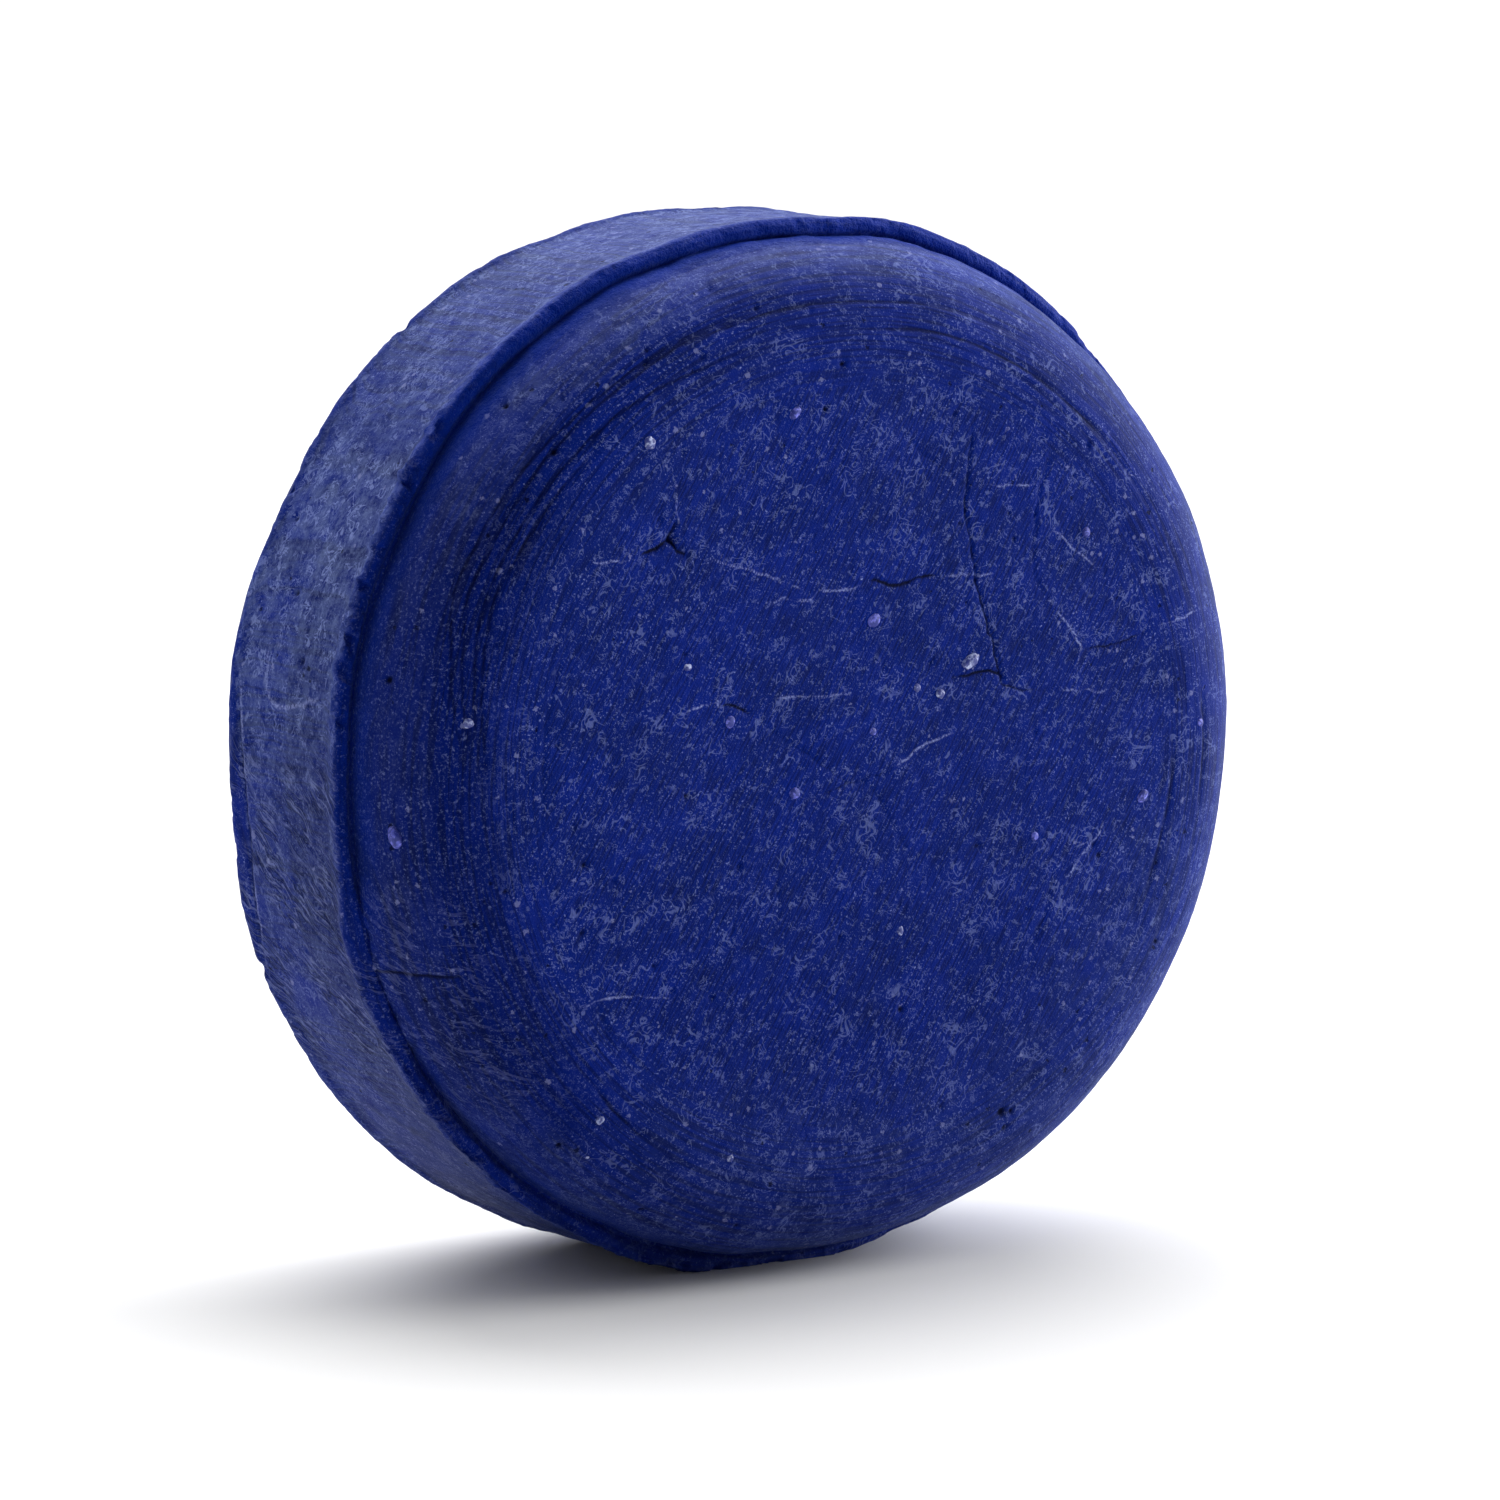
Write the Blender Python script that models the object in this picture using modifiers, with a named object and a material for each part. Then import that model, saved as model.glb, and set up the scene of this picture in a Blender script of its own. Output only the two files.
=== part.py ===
"""A pressed shaving soap puck, standing on its rim.

The puck is one turned body of soap with small hard grains lying in pockets in its front face.
It is modelled lying flat under an empty, front face up, and the empty stands it on its rim:
the puck's axis lies along Y, its front faces -Y, and its small flat rests on Z = 0.
All lengths are in metres.
"""

import math
import random

import bmesh
import bpy
from mathutils import Matrix, Vector

# Driving dimensions of the puck.
DIAMETER = 0.060
BAND_WIDTH = 0.0117
DOME_RISE = 0.0065
REST_WIDTH = 0.010

# The lip of flash along each edge of the band, and the ledge inside it.
LIP_PROUD = 0.00025
LIP_WIDTH = 0.0011
LIP_BEVEL = 0.0003
LEDGE_WIDTH = 0.0012
LEDGE_DEPTH = 0.0003

# The domed face: a flat land, a slight crown, then a shoulder that is a superellipse.
LAND_RADIUS = 0.009
FACE_RADIUS = 0.0218
CROWN_DROP = 0.0002
SHOULDER_POWER = 2.3
SHOULDER_POINTS = 7

# The concentric rings that the press tool left on the shoulder.
RING_RADII = (0.0233, 0.0241, 0.0249)
RING_WIDTH = 0.0004
RING_HEIGHT = 0.0001

TURN_STEPS = 72
MERGE_DISTANCE = 0.00001

# The grains. Each has its place on the face (across, up), its length, its width and its turn in degrees.
GRAIN_GAP = 0.0003
GRAIN_SINK = 0.2
GRAIN_FLATNESS = 0.8
GRAIN_ROUGHNESS = 0.06
MM = 0.001
WHITE_GRAINS = (
    (-24.9, 3.6, 0.7, 0.6, 0),
    (-13.6, 18.2, 0.9, 0.8, 30),
    (-16.7, -21.1, 0.7, 0.6, 0),
    (-16.6, -18.9, 0.7, 0.6, 60),
    (-8.4, -21.8, 0.7, 0.6, 0),
    (-7.8, -25.5, 0.9, 0.8, 0),
    (-10.5, -25.1, 1.2, 0.6, 20),
    (5.6, 3.2, 0.7, 0.7, 0),
    (4.0, 3.6, 0.6, 0.6, 0),
    (7.7, 4.9, 1.4, 0.8, 25),
    (-11.3, 5.8, 0.6, 0.6, 0),
    (2.9, -10.0, 0.7, 0.6, 90),
)
BLUE_GRAINS = (
    (-28.0, -2.7, 1.3, 0.8, -50),
    (1.1, 7.6, 1.0, 0.8, 35),
    (-4.2, -1.7, 0.8, 0.7, 0),
    (19.9, -3.7, 1.0, 0.7, 40),
    (-4.1, 19.4, 1.0, 0.6, 40),
    (-8.5, 2.6, 0.8, 0.7, 90),
    (15.8, 11.7, 0.6, 0.6, 0),
    (12.2, -5.4, 0.6, 0.6, 0),
    (1.0, 1.4, 0.6, 0.6, 0),
    (24.2, 0.2, 0.6, 0.6, 0),
)

# Values worked out from the driving dimensions.
RIM_RADIUS = DIAMETER / 2
BAND_RADIUS = RIM_RADIUS - LIP_PROUD
HALF_BAND = BAND_WIDTH / 2
FACE_HEIGHT = HALF_BAND + DOME_RISE
FOOT_RADIUS = RIM_RADIUS - LEDGE_WIDTH
FOOT_HEIGHT = HALF_BAND - LEDGE_DEPTH
REST_HEIGHT = math.sqrt(RIM_RADIUS ** 2 - (REST_WIDTH / 2) ** 2)


def clear_scene():
    """Remove every object, so that the script starts from an empty scene."""
    for old in list(bpy.data.objects):
        bpy.data.objects.remove(old, do_unlink=True)


def new_collection(name):
    """Add a collection to the scene."""
    collection = bpy.data.collections.new(name)
    bpy.context.scene.collection.children.link(collection)
    return collection


def principled(name, colour, roughness):
    """Make a plain non-metallic material."""
    material = bpy.data.materials.new(name)
    material.use_nodes = True
    shader = material.node_tree.nodes["Principled BSDF"]
    shader.inputs["Base Color"].default_value = (*colour, 1.0)
    shader.inputs["Roughness"].default_value = roughness
    shader.inputs["Metallic"].default_value = 0.0
    return material


def dome_height(radius):
    """Height of the smooth front surface over the puck's middle plane, at a radius."""
    if radius <= LAND_RADIUS:
        return FACE_HEIGHT
    if radius <= FACE_RADIUS:
        across = (radius - LAND_RADIUS) / (FACE_RADIUS - LAND_RADIUS)
        return FACE_HEIGHT - CROWN_DROP * across ** 2
    across = min(1.0, (radius - FACE_RADIUS) / (FOOT_RADIUS - FACE_RADIUS))
    rise = FACE_HEIGHT - CROWN_DROP - FOOT_HEIGHT
    return FOOT_HEIGHT + rise * (1 - across ** SHOULDER_POWER) ** (1 / SHOULDER_POWER)


def shoulder_radii():
    """Radii of the shoulder's profile points, closer together where it turns down."""
    exponent = 2 / SHOULDER_POWER
    width = FOOT_RADIUS - FACE_RADIUS
    radii = []
    for step in range(SHOULDER_POINTS + 1):
        angle = math.pi / 2 * step / SHOULDER_POINTS
        radii.append(FACE_RADIUS + width * math.sin(angle) ** exponent)
    return radii


def ring_points():
    """Three profile points for each of the raised rings: foot, crest, foot."""
    points = []
    for radius in RING_RADII:
        inner = radius - RING_WIDTH / 2
        outer = radius + RING_WIDTH / 2
        points.append((inner, dome_height(inner)))
        points.append((radius, dome_height(radius) + RING_HEIGHT))
        points.append((outer, dome_height(outer)))
    return points


def front_profile():
    """Profile of the front half, from the centre of the face out to the middle of the band."""
    rings = ring_points()
    ring_start = rings[0][0]
    ring_end = rings[-1][0]
    radii = [0.0, LAND_RADIUS, (LAND_RADIUS + FACE_RADIUS) / 2] + shoulder_radii()
    points = [(radius, dome_height(radius)) for radius in radii]
    points = [point for point in points if not ring_start <= point[0] <= ring_end]
    points = sorted(points + rings)
    points[-1] = (FOOT_RADIUS, FOOT_HEIGHT)
    lip_inside = RIM_RADIUS - LIP_BEVEL
    points.append(((FOOT_RADIUS + lip_inside) / 2, FOOT_HEIGHT))
    points.append((lip_inside, HALF_BAND))
    points.append((RIM_RADIUS, HALF_BAND - LIP_BEVEL))
    points.append((BAND_RADIUS, HALF_BAND - LIP_WIDTH))
    return points


def turned_mesh():
    """The puck's whole profile as a mesh of edges, front centre to back centre."""
    front = front_profile()
    back = [(radius, -height) for radius, height in reversed(front)]
    mesh = bpy.data.meshes.new("soap_body")
    form = bmesh.new()
    corners = [form.verts.new((radius, 0.0, height)) for radius, height in front + back]
    for first, second in zip(corners, corners[1:]):
        form.edges.new((first, second))
    form.to_mesh(mesh)
    form.free()
    return mesh


def add_object(name, mesh, collection, parent, material=None):
    """Put a mesh in a collection as an object under the puck's empty."""
    thing = bpy.data.objects.new(name, mesh)
    collection.objects.link(thing)
    thing.parent = parent
    if material:
        mesh.materials.append(material)
    return thing


def add_cutter(name, mesh, collection, parent):
    """Add an object that only cuts another."""
    cutter = add_object(name, mesh, collection, parent)
    cutter.hide_render = True
    cutter.display_type = "WIRE"
    return cutter


def rest_cutter(collection, parent):
    """A block that cuts the small flat on which the puck stands."""
    depth = RIM_RADIUS - REST_HEIGHT
    mesh = bpy.data.meshes.new("rest_cutter")
    form = bmesh.new()
    bmesh.ops.create_cube(form, size=1.0)
    bmesh.ops.scale(form, vec=(REST_WIDTH * 2, depth * 2, FACE_HEIGHT * 3), verts=form.verts)
    bmesh.ops.translate(form, vec=(0.0, -REST_HEIGHT - depth, 0.0), verts=form.verts)
    form.to_mesh(mesh)
    form.free()
    return add_cutter("rest_cutter", mesh, collection, parent)


def make_body(collection, cutters, pockets, parent, material):
    """Turn the body, then cut the rest flat and the grains' pockets."""
    body = add_object("soap_body", turned_mesh(), collection, parent, material)
    screw = body.modifiers.new("turn", "SCREW")
    screw.axis = "Z"
    screw.steps = TURN_STEPS
    screw.render_steps = TURN_STEPS
    screw.use_merge_vertices = True
    screw.merge_threshold = MERGE_DISTANCE
    flat = body.modifiers.new("rest_flat", "BOOLEAN")
    flat.operation = "DIFFERENCE"
    flat.solver = "EXACT"
    flat.object = rest_cutter(cutters, parent)
    holes = body.modifiers.new("pockets", "BOOLEAN")
    holes.operation = "DIFFERENCE"
    holes.solver = "EXACT"
    holes.operand_type = "COLLECTION"
    holes.collection = pockets
    return body


def surface_frame(across, up, turn):
    """A frame on the front surface: its Z is the outward normal, its X the grain's long way."""
    radius = math.hypot(across, up)
    step = 0.0001
    slope = (dome_height(radius + step) - dome_height(radius - step)) / (2 * step)
    outward = Vector((across, up, 0.0)).normalized()
    normal = (Vector((0.0, 0.0, 1.0)) - slope * outward).normalized()
    along = Vector((math.cos(turn), math.sin(turn), 0.0))
    along = (along - along.dot(normal) * normal).normalized()
    aside = normal.cross(along)
    frame = Matrix((along, aside, normal)).transposed().to_4x4()
    frame.translation = Vector((across, up, dome_height(radius)))
    return frame


def pebble_mesh(name, size, seed):
    """A lumpy pebble that fills a box of the given size, centred on the origin."""
    mesh = bpy.data.meshes.new(name)
    form = bmesh.new()
    bmesh.ops.create_icosphere(form, subdivisions=2, radius=0.5)
    noise = random.Random(seed)
    for vert in form.verts:
        vert.co *= 1 - noise.uniform(0, GRAIN_ROUGHNESS)
    bmesh.ops.scale(form, vec=size, verts=form.verts)
    form.to_mesh(mesh)
    form.free()
    return mesh


def make_grain(name, place, collection, pockets, parent, material):
    """One grain, and the cutter for the pocket that it lies in."""
    across, up, length, width = (value * MM for value in place[:4])
    height = width * GRAIN_FLATNESS
    frame = surface_frame(across, up, math.radians(place[4]))
    frame = frame @ Matrix.Translation((0.0, 0.0, -height * GRAIN_SINK))
    grain = add_object(name, pebble_mesh(name, (length, width, height), name), collection, parent, material)
    grain.matrix_local = frame
    grain.data.shade_smooth()
    room = 2 * GRAIN_GAP
    pocket_size = (length + room, width + room, height + room)
    pocket = pebble_mesh(name + "_pocket", pocket_size, name)
    cutter = add_cutter(name + "_pocket", pocket, pockets, parent)
    cutter.matrix_local = frame
    return grain


def main():
    clear_scene()
    puck = new_collection("shaving_soap_puck")
    cutters = new_collection("cutters")
    pockets = new_collection("pocket_cutters")
    stand = bpy.data.objects.new("puck_axis", None)
    puck.objects.link(stand)
    stand.location = (0.0, 0.0, REST_HEIGHT)
    stand.rotation_euler = (math.radians(90), 0.0, 0.0)
    soap = principled("blue_soap", (0.022, 0.032, 0.19), 0.6)
    white = principled("white_grain", (0.42, 0.44, 0.6), 0.7)
    blue = principled("blue_grain", (0.11, 0.15, 0.5), 0.6)
    make_body(puck, cutters, pockets, stand, soap)
    for number, place in enumerate(WHITE_GRAINS, 1):
        make_grain(f"white_grain_{number}", place, puck, pockets, stand, white)
    for number, place in enumerate(BLUE_GRAINS, 1):
        make_grain(f"blue_grain_{number}", place, puck, pockets, stand, blue)


main()
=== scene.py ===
"""The looks of a pressed shaving soap puck that stands on its rim.

The soap is one closed mesh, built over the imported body: a turned form whose surface is then worked
the way the real soap was, with tool rings, a ragged lip, smears, cracks, pits and scratches.
Lengths are in metres and angles in degrees unless a name says otherwise. On the puck, "across" runs
along X and "up" along Z from the puck's axis, and the front faces -Y.
"""

import itertools
import math

import bmesh
import bpy
import numpy as np
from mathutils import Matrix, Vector


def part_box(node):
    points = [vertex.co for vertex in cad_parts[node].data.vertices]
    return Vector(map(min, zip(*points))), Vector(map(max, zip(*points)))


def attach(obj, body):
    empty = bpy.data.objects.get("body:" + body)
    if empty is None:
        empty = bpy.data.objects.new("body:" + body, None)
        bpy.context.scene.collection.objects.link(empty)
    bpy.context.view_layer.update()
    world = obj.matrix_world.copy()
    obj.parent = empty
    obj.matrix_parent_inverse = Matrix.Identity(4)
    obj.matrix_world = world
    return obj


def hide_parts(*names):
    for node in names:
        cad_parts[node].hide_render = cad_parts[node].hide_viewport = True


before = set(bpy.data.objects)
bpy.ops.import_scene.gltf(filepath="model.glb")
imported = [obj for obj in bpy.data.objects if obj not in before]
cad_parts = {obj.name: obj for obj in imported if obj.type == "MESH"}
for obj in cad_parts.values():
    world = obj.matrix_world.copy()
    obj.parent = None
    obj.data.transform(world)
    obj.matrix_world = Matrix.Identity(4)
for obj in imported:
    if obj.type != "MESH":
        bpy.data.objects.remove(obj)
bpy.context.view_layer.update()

MM = 0.001

# The puck's form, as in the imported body.
BODY_LOW, BODY_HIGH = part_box("soap_body")
RIM_RADIUS = (BODY_HIGH[0] - BODY_LOW[0]) / 2
HALF_THICKNESS = (BODY_HIGH[1] - BODY_LOW[1]) / 2
AXIS_HEIGHT = BODY_HIGH[2] - RIM_RADIUS
HALF_BAND = 5.85 * MM
LIP_PROUD = 0.18 * MM
LIP_WIDTH = 1.4 * MM
LIP_EDGE = 0.28 * MM
LEDGE_WIDTH = 1.2 * MM
LEDGE_DEPTH = 0.42 * MM
LAND_RADIUS = 9.0 * MM
FACE_RADIUS = 21.8 * MM
CROWN_DROP = 0.2 * MM
SHOULDER_POWER = 2.3
BAND_RADIUS = RIM_RADIUS - LIP_PROUD
FOOT_RADIUS = RIM_RADIUS - LEDGE_WIDTH
FOOT_HEIGHT = HALF_BAND - LEDGE_DEPTH

# How finely the soap is meshed.
FACE_GRID = 440
LIP_STEP = 0.11 * MM
BAND_STEP = 0.26 * MM

# A place of the front face, and the like place of the back, as seen from behind.
BOTH_SIDES = ((1, 1, 1), (-1, -1, 1))

# How the surface is worked.
# Marks for the material. Some carry painted light and shade as well:
# shade in grooves and pits, light in the dust mark and on the lips, shade on the left shoulder.
MARKS = ("crack", "seam", "dust_and_light", "lip_blue_and_light", "bare_and_shaded", "creased")
TINY = 1e-18
PATH_STEP = 0.25
WANDER_SIZE = 0.9
SNAP_REACH = 0.075 * MM
BREAK_SIZE = 0.9 * MM
BREAK_SEED = 5
PIT_RAGGED = 0.35
PIT_SEED = 6
LUMP_SIZE = 9 * MM
LUMP_HEIGHT = 0.09 * MM
GRAIN_SIZE = 0.9 * MM
GRAIN_HEIGHT = 0.014 * MM
BAND_LUMP_SIZE = 2.6 * MM
BAND_LUMP_HEIGHT = 0.05 * MM
BRUSHED_FROM = 20 * MM
BRUSH_HEIGHT = 0.014 * MM
BRUSH_LEAN = 58
RING_DEPTH = 0.09 * MM
RING_WIDTH = 0.18 * MM
RING_BESIDE = 0.99
RING_TURN_STEP = 6
STREAK_HEIGHT = 0.009 * MM
CRACK_DEPTH = 0.14 * MM
CRACK_WIDTH = 0.13 * MM
CRACK_WANDER = 0.16
SEAM_HEIGHT = 0.03 * MM
SCRATCH_SEED = 8
SCRATCH_COUNT = 70
SCRATCH_DEPTH = 0.02 * MM
SCRATCH_WIDTH = 0.11 * MM
FOLD_DEPTH = 0.08 * MM
FOLD_WIDTH = 0.16 * MM
FLAKE_HEIGHT = 0.07 * MM
SCUFF_GRAIN = 0.7 * MM
SMALL_PIT_SEED = 9
SMALL_PIT_COUNT = 60
LIP_WAVE = 2.5 * MM
LIP_WEAR = 0.05 * MM
TEAR_SIZE = 1.4 * MM
TEAR_DEPTH = 0.35 * MM
CRUMB_HEIGHT = 0.14 * MM
CHIP_DEPTH = 0.3 * MM
STRIP_HEIGHT = 0.06 * MM
# Dust and painted sheen on the foot of the front shoulder, which catches grazing light.
FOOT_DUST_AND_SHEEN = 0.25
# Painted light: the lower right of the front face made paler, as if lit from low on the right.
LOWER_RIGHT_PAINTED_LIGHT = 0.16
COLLAR_HEIGHT = 0.04 * MM

# Chips out of the rear lip: degrees round from +X, and size in millimetres.
REAR_CHIPS = ((150, 0.8), (-157, 0.7), (128, 0.7), (60, 0.9), (20, 1.1), (-40, 0.8))

# Where the puck is out of round: middle angle, half of the angle, how softly, and by how many millimetres.
OUT_OF_ROUND = (
    (-15, 35, 25, 0.25),
    (-140, 12, 25, 0.3),
    (70, 9, 10, 0.14),
    (96, 10, 10, -0.35),
    (135, 3, 10, 0.15),
    (36, 8, 10, 0.13),
    (182, 5, 8, -0.15),
    (165, 3, 8, 0.1),
    (-106, 5, 6, 0.25),
)

# Where the front lip is worn down, in the same terms.
WORN_LIP = ((38, 8, 4, -0.35), (-58, 16, 16, -0.4))

# The grains.
GRAIN_NODES = sorted(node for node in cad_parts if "grain" in node)
GRAIN_LUMP = 0.35 * MM
WELD = 1e-6
WHITE_LUMPINESS = 0.18
BLUE_LUMPINESS = 0.08
GRAIN_SEED = 300

# Colours.
NAVY = (0.0003, 0.0105, 0.165, 1)
ULTRAMARINE = (0.0006, 0.013, 0.215, 1)
# Painted shade: a darker navy for the left of the front shoulder, which lies out of the light.
PAINTED_SHADE_NAVY = (0.0002, 0.005, 0.09, 1)
FLECK_COLOUR = (0.27, 0.34, 0.72, 1)
FLECK_STRENGTH = 0.9
# How many fewer pale flecks show on that left shoulder, as part of the painted shade.
SHADED_SHOULDER_BARENESS = 0.025
# Pale dust; also the colour of the painted light on the shoulder's foot and the face's lower right.
DUST_AND_LIGHT_COLOUR = (0.145, 0.195, 0.42, 1)
DUST_AND_LIGHT_STRENGTH = 0.68
SPECK_COLOUR = (0.3, 0.33, 0.62, 1)
SEAM_COLOUR = (0.3, 0.35, 0.7, 1)
# Near black: painted shade in cracks, grooves, pits and pinholes; also the soap's own dark streaks.
CRACK_SHADE_AND_STREAK_COLOUR = (0.0006, 0.0015, 0.02, 1)
# Painted light: a brighter blue for the lips, strongest on their crests, which face the light.
LIT_LIP_BLUE = (0.001, 0.032, 0.42, 1)
WHITE_SHADED = (0.18, 0.22, 0.5, 1)
WHITE_BRIGHT = (0.5, 0.56, 0.85, 1)
BLUE_SHADED = (0.07, 0.09, 0.55, 1)
BLUE_BRIGHT = (0.22, 0.24, 0.88, 1)
GRAIN_FILM = 0.9
FLOOR_COLOUR = (0.82, 0.82, 0.82, 1)
FLOOR_BOUNCE = (0.68, 0.68, 0.68, 1)

# The materials' finish.
SOAP_SPECULAR = 0.07
SOAP_SHEEN = 0.06
SOAP_GLOSS_TINT = (0.3, 0.5, 1, 1)
SOAP_RELIEF = 0.06 * MM
SOAP_SHEEN_ROUGHNESS = 0.35
GRAIN_RELIEF = 0.03 * MM

# Sizes of the soap's patterns, in millimetres, and how strong some of them are.
CLOUD_SIZE = 3.5
FLECK_SIZE = 0.13
FLECK_PATCH_SIZE = 1.6
FLECK_PATCHINESS = 0.11
GRANULE_SIZE = 0.2
DUST_PATCH_SIZE = 0.9
CRUMB_SIZE = 0.4
CRUMB_RELIEF = 8.0
BRUSHED_LENGTH = 1.6
BRUSHED_WIDTH = 0.13
TURNED_STREAK = (6.0, 0.17)
BANDED_STREAK = (4.0, 0.3)

# The camera and the studio.
CAMERA_AZIMUTH = -33.6
CAMERA_ELEVATION = 7.4
CAMERA_DISTANCE = 0.42
CAMERA_LENS = 176.8
CAMERA_SHIFT = (0.0101, -0.0109)
FLOOR_SIZE = 20
OVERHEAD_STRENGTH = 3.0
OVERHEAD_SOFTNESS = 58
OVERHEAD_PLACE = (148, 54, 1.0)
WHITE = (1, 1, 1, 1)
DARK_SIDE = (CAMERA_AZIMUTH + 8, 10)
ROOM_BRIGHT = 0.55
ROOM_DARK = 0.05
ROOM_TOP_GAIN = 1.8

# The softboxes: name, azimuth, elevation, distance, size and radiance.
SOFTBOXES = (("left", -140, 48, 0.5, 0.35, 1.0), ("right", 80, 16, 0.6, 0.6, 5.0))

# The dark cracks of the front face: how open each is, and its corners across and up, in millimetres.
CRACKS = (
    (0.75, ((7.9, 18.7), (7.4, 14.5), (7.6, 12.3), (8.3, 8.6), (9.6, 4.5), (10.2, 3.3), (13.9, 2.8))),
    (0.9, ((10.0, 3.6), (9.3, 4.2), (6.6, 4.1))),
    (0.45, ((13.6, 16.5), (12.6, 14.6), (12.1, 12.0), (12.1, 9.5), (13.2, 7.7))),
    (0.7, ((15.5, 5.0), (17.6, 5.1), (20.2, 5.8))),
    (1.0, ((0.6, 9.9), (2.9, 9.5), (4.3, 9.8), (5.6, 9.8))),
    (1.0, ((-14.4, 12.0), (-13.4, 12.3), (-12.4, 12.9))),
    (0.9, ((-12.3, 12.9), (-11.8, 12.2), (-11.3, 11.9))),
    (0.8, ((-12.4, 12.9), (-12.0, 13.8))),
    (0.9, ((-9.2, 3.5), (-8.0, 3.4), (-7.2, 2.9))),
    (0.5, ((-7.2, 2.9), (-5.5, 1.7), (-0.8, -1.2), (0.5, -1.4), (2.2, -3.7), (3.6, -6.1))),
    (0.6, ((-2.5, -1.9), (-0.8, -1.5), (2.2, -0.9))),
    (0.45, ((-17.0, -12.2), (-16.1, -15.0))),
    (0.6, ((13.6, -6.9), (13.0, -9.7), (11.6, -12.2))),
)

# Faint closed lines pressed into the face.
FAINT_LINES = (
    ((-18.9, 7.8), (-19.9, 5.1), (-20.5, 2.2), (-20.7, -2.4)),
    ((-23.3, 1.0), (-22.7, -1.5), (-20.9, -6.5)),
    ((-20.4, -12.9), (-15.6, -18.4), (-13.3, -20.3)),
    ((3.2, 17.6), (7.3, 14.7)),
    ((-11.8, -9.6), (-2.4, -10.6), (7.1, -11.2)),
    ((-9.8, -13.3), (-3.8, -15.3), (-1.8, -16.6)),
    ((-5.5, -6.2), (-5.3, -8.4), (-6.2, -9.7)),
)

# Pale raised seams, where the pressed soap closed again.
SEAMS = (
    ((13.9, 2.8), (17.4, 2.5)),
    ((7.3, 14.7), (12.8, 14.6)),
    ((13.2, 7.7), (15.3, 5.3), (14.8, 3.8)),
    ((20.2, 5.8), (24.2, 6.7)),
    ((13.2, 12.1), (16.7, 9.4)),
    ((5.6, 9.8), (9.4, 9.7)),
    ((0.8, 9.9), (-0.5, 9.4), (-2.7, 9.5), (-3.2, 9.0), (-5.1, 9.1), (-7.2, 8.9)),
    ((-17.6, 12.0), (-15.0, 11.9), (-14.2, 12.1)),
    ((-10.8, 12.0), (-7.2, 10.9), (-3.2, 9.3)),
    ((-11.8, 13.4), (-12.0, 15.6)),
    ((-9.4, 4.4), (-9.3, 3.2)),
    ((-18.6, -12.5), (-15.4, -12.0), (-11.8, -12.6)),
    ((17.5, -4.6), (15.8, -6.5), (14.0, -8.3)),
    ((-6.7, 3.6), (-4.9, 3.7), (-2.2, 3.6), (0.2, 3.7)),
    ((2.2, -0.9), (4.6, 0.4), (7.0, 1.0)),
    ((-12.3, 3.2), (-10.2, 3.6), (-9.3, 3.8)),
)

# Folds of the shoulder by the smeared lip, at the lower left.
FOLDS = (
    ((-28.4, -4.0), (-27.9, -5.6), (-27.3, -7.4), (-26.9, -9.0)),
    ((-28.7, -2.7), (-28.0, -3.9), (-27.5, -6.4)),
    ((-27.3, -9.1), (-26.4, -9.3), (-25.4, -9.2)),
    ((-26.2, -12.5), (-25.4, -11.6), (-24.2, -10.5)),
    ((-28.2, -7.8), (-27.5, -8.3), (-26.6, -8.4)),
    ((-27.7, -5.7), (-27.4, -6.7), (-27.0, -8.4)),
    ((-28.0, -4.5), (-27.7, -6.0), (-27.1, -8.1)),
    ((-23.5, -15.7), (-22.6, -14.3), (-21.2, -13.5)),
    ((-24.6, -16.0), (-23.6, -14.6), (-22.4, -13.4)),
)

# The deepest of them, which starts under the smeared lip.
MAIN_FOLD = ((-28.0, -9.8), (-27.0, -10.1), (-26.4, -10.3), (-24.9, -10.3), (-24.3, -10.0))

# Pale ridges between those folds.
FOLD_RIDGES = (
    ((-28.3, -6.3), (-27.9, -7.2), (-27.4, -8.3), (-26.8, -8.9)),
    ((-24.7, -11.7), (-24.0, -10.5)),
    ((-22.8, -10.7), (-21.3, -11.1), (-19.3, -11.6), (-18.6, -12.3), (-17.2, -12.2)),
    ((-26.8, -10.0), (-25.6, -10.1), (-24.8, -9.6)),
)

# Folds and scratches of the side band: degrees round from +X, and millimetres back from its middle.
BAND_FOLDS = (
    ((179, 2.9), (184, 0.5), (186, -1.2), (188, -3.5)),
    ((181, 2.2), (186, -0.2), (190, -1.2), (193, -2.1), (197, -4.4)),
    ((187, 3.4), (193, 1.2), (197, 0.8), (200, -0.7), (202, -3.1), (203, -5.4)),
    ((189, 1.1), (194, -1.9), (197, -4.2), (199, -5.6)),
    ((-168, -1.1), (-165, -3.7), (-163, -5.2), (-162, -5.6)),
    ((-158, 1.1), (-156, -1.0), (-155, -3.4), (-155, -5.4)),
    ((-174, 3.5), (-169, 1.4), (-165, -0.3), (-161, -4.1)),
    ((-150, 1.0), (-147, -2.0), (-147, -4.6)),
)
BAND_SCRATCHES = (
    ((145, 3.5), (147, 0.9), (150, -2.2), (152, -3.8)),
    ((142, 4.9), (141.5, 0.5), (141, -3.8)),
    ((131, 3.0), (133, 0.0), (132, -3.0)),
    ((166, 3.8), (165, 0.4), (167, -2.6)),
)

# The edge of a flake that lifts from the side band.
FLAKE_EDGE = ((164, 2.4), (169, 2.3), (172, 2.0), (173, 1.1), (173, -0.4), (172.4, -1.9),
              (171.6, -3.4), (170, -4.6))

# Pale crumbly scuffs of the side band: degrees round, millimetres back, and size in millimetres.
BAND_SCUFFS = ((167, -3.8, 1.1), (163, -4.6, 1.0), (169, -0.6, 0.9), (135, 1.0, 2.2),
               (146, 2.5, 1.6), (104, 1.5, 1.8), (100, -3.0, 1.5), (176, 3.2, 0.8))

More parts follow.
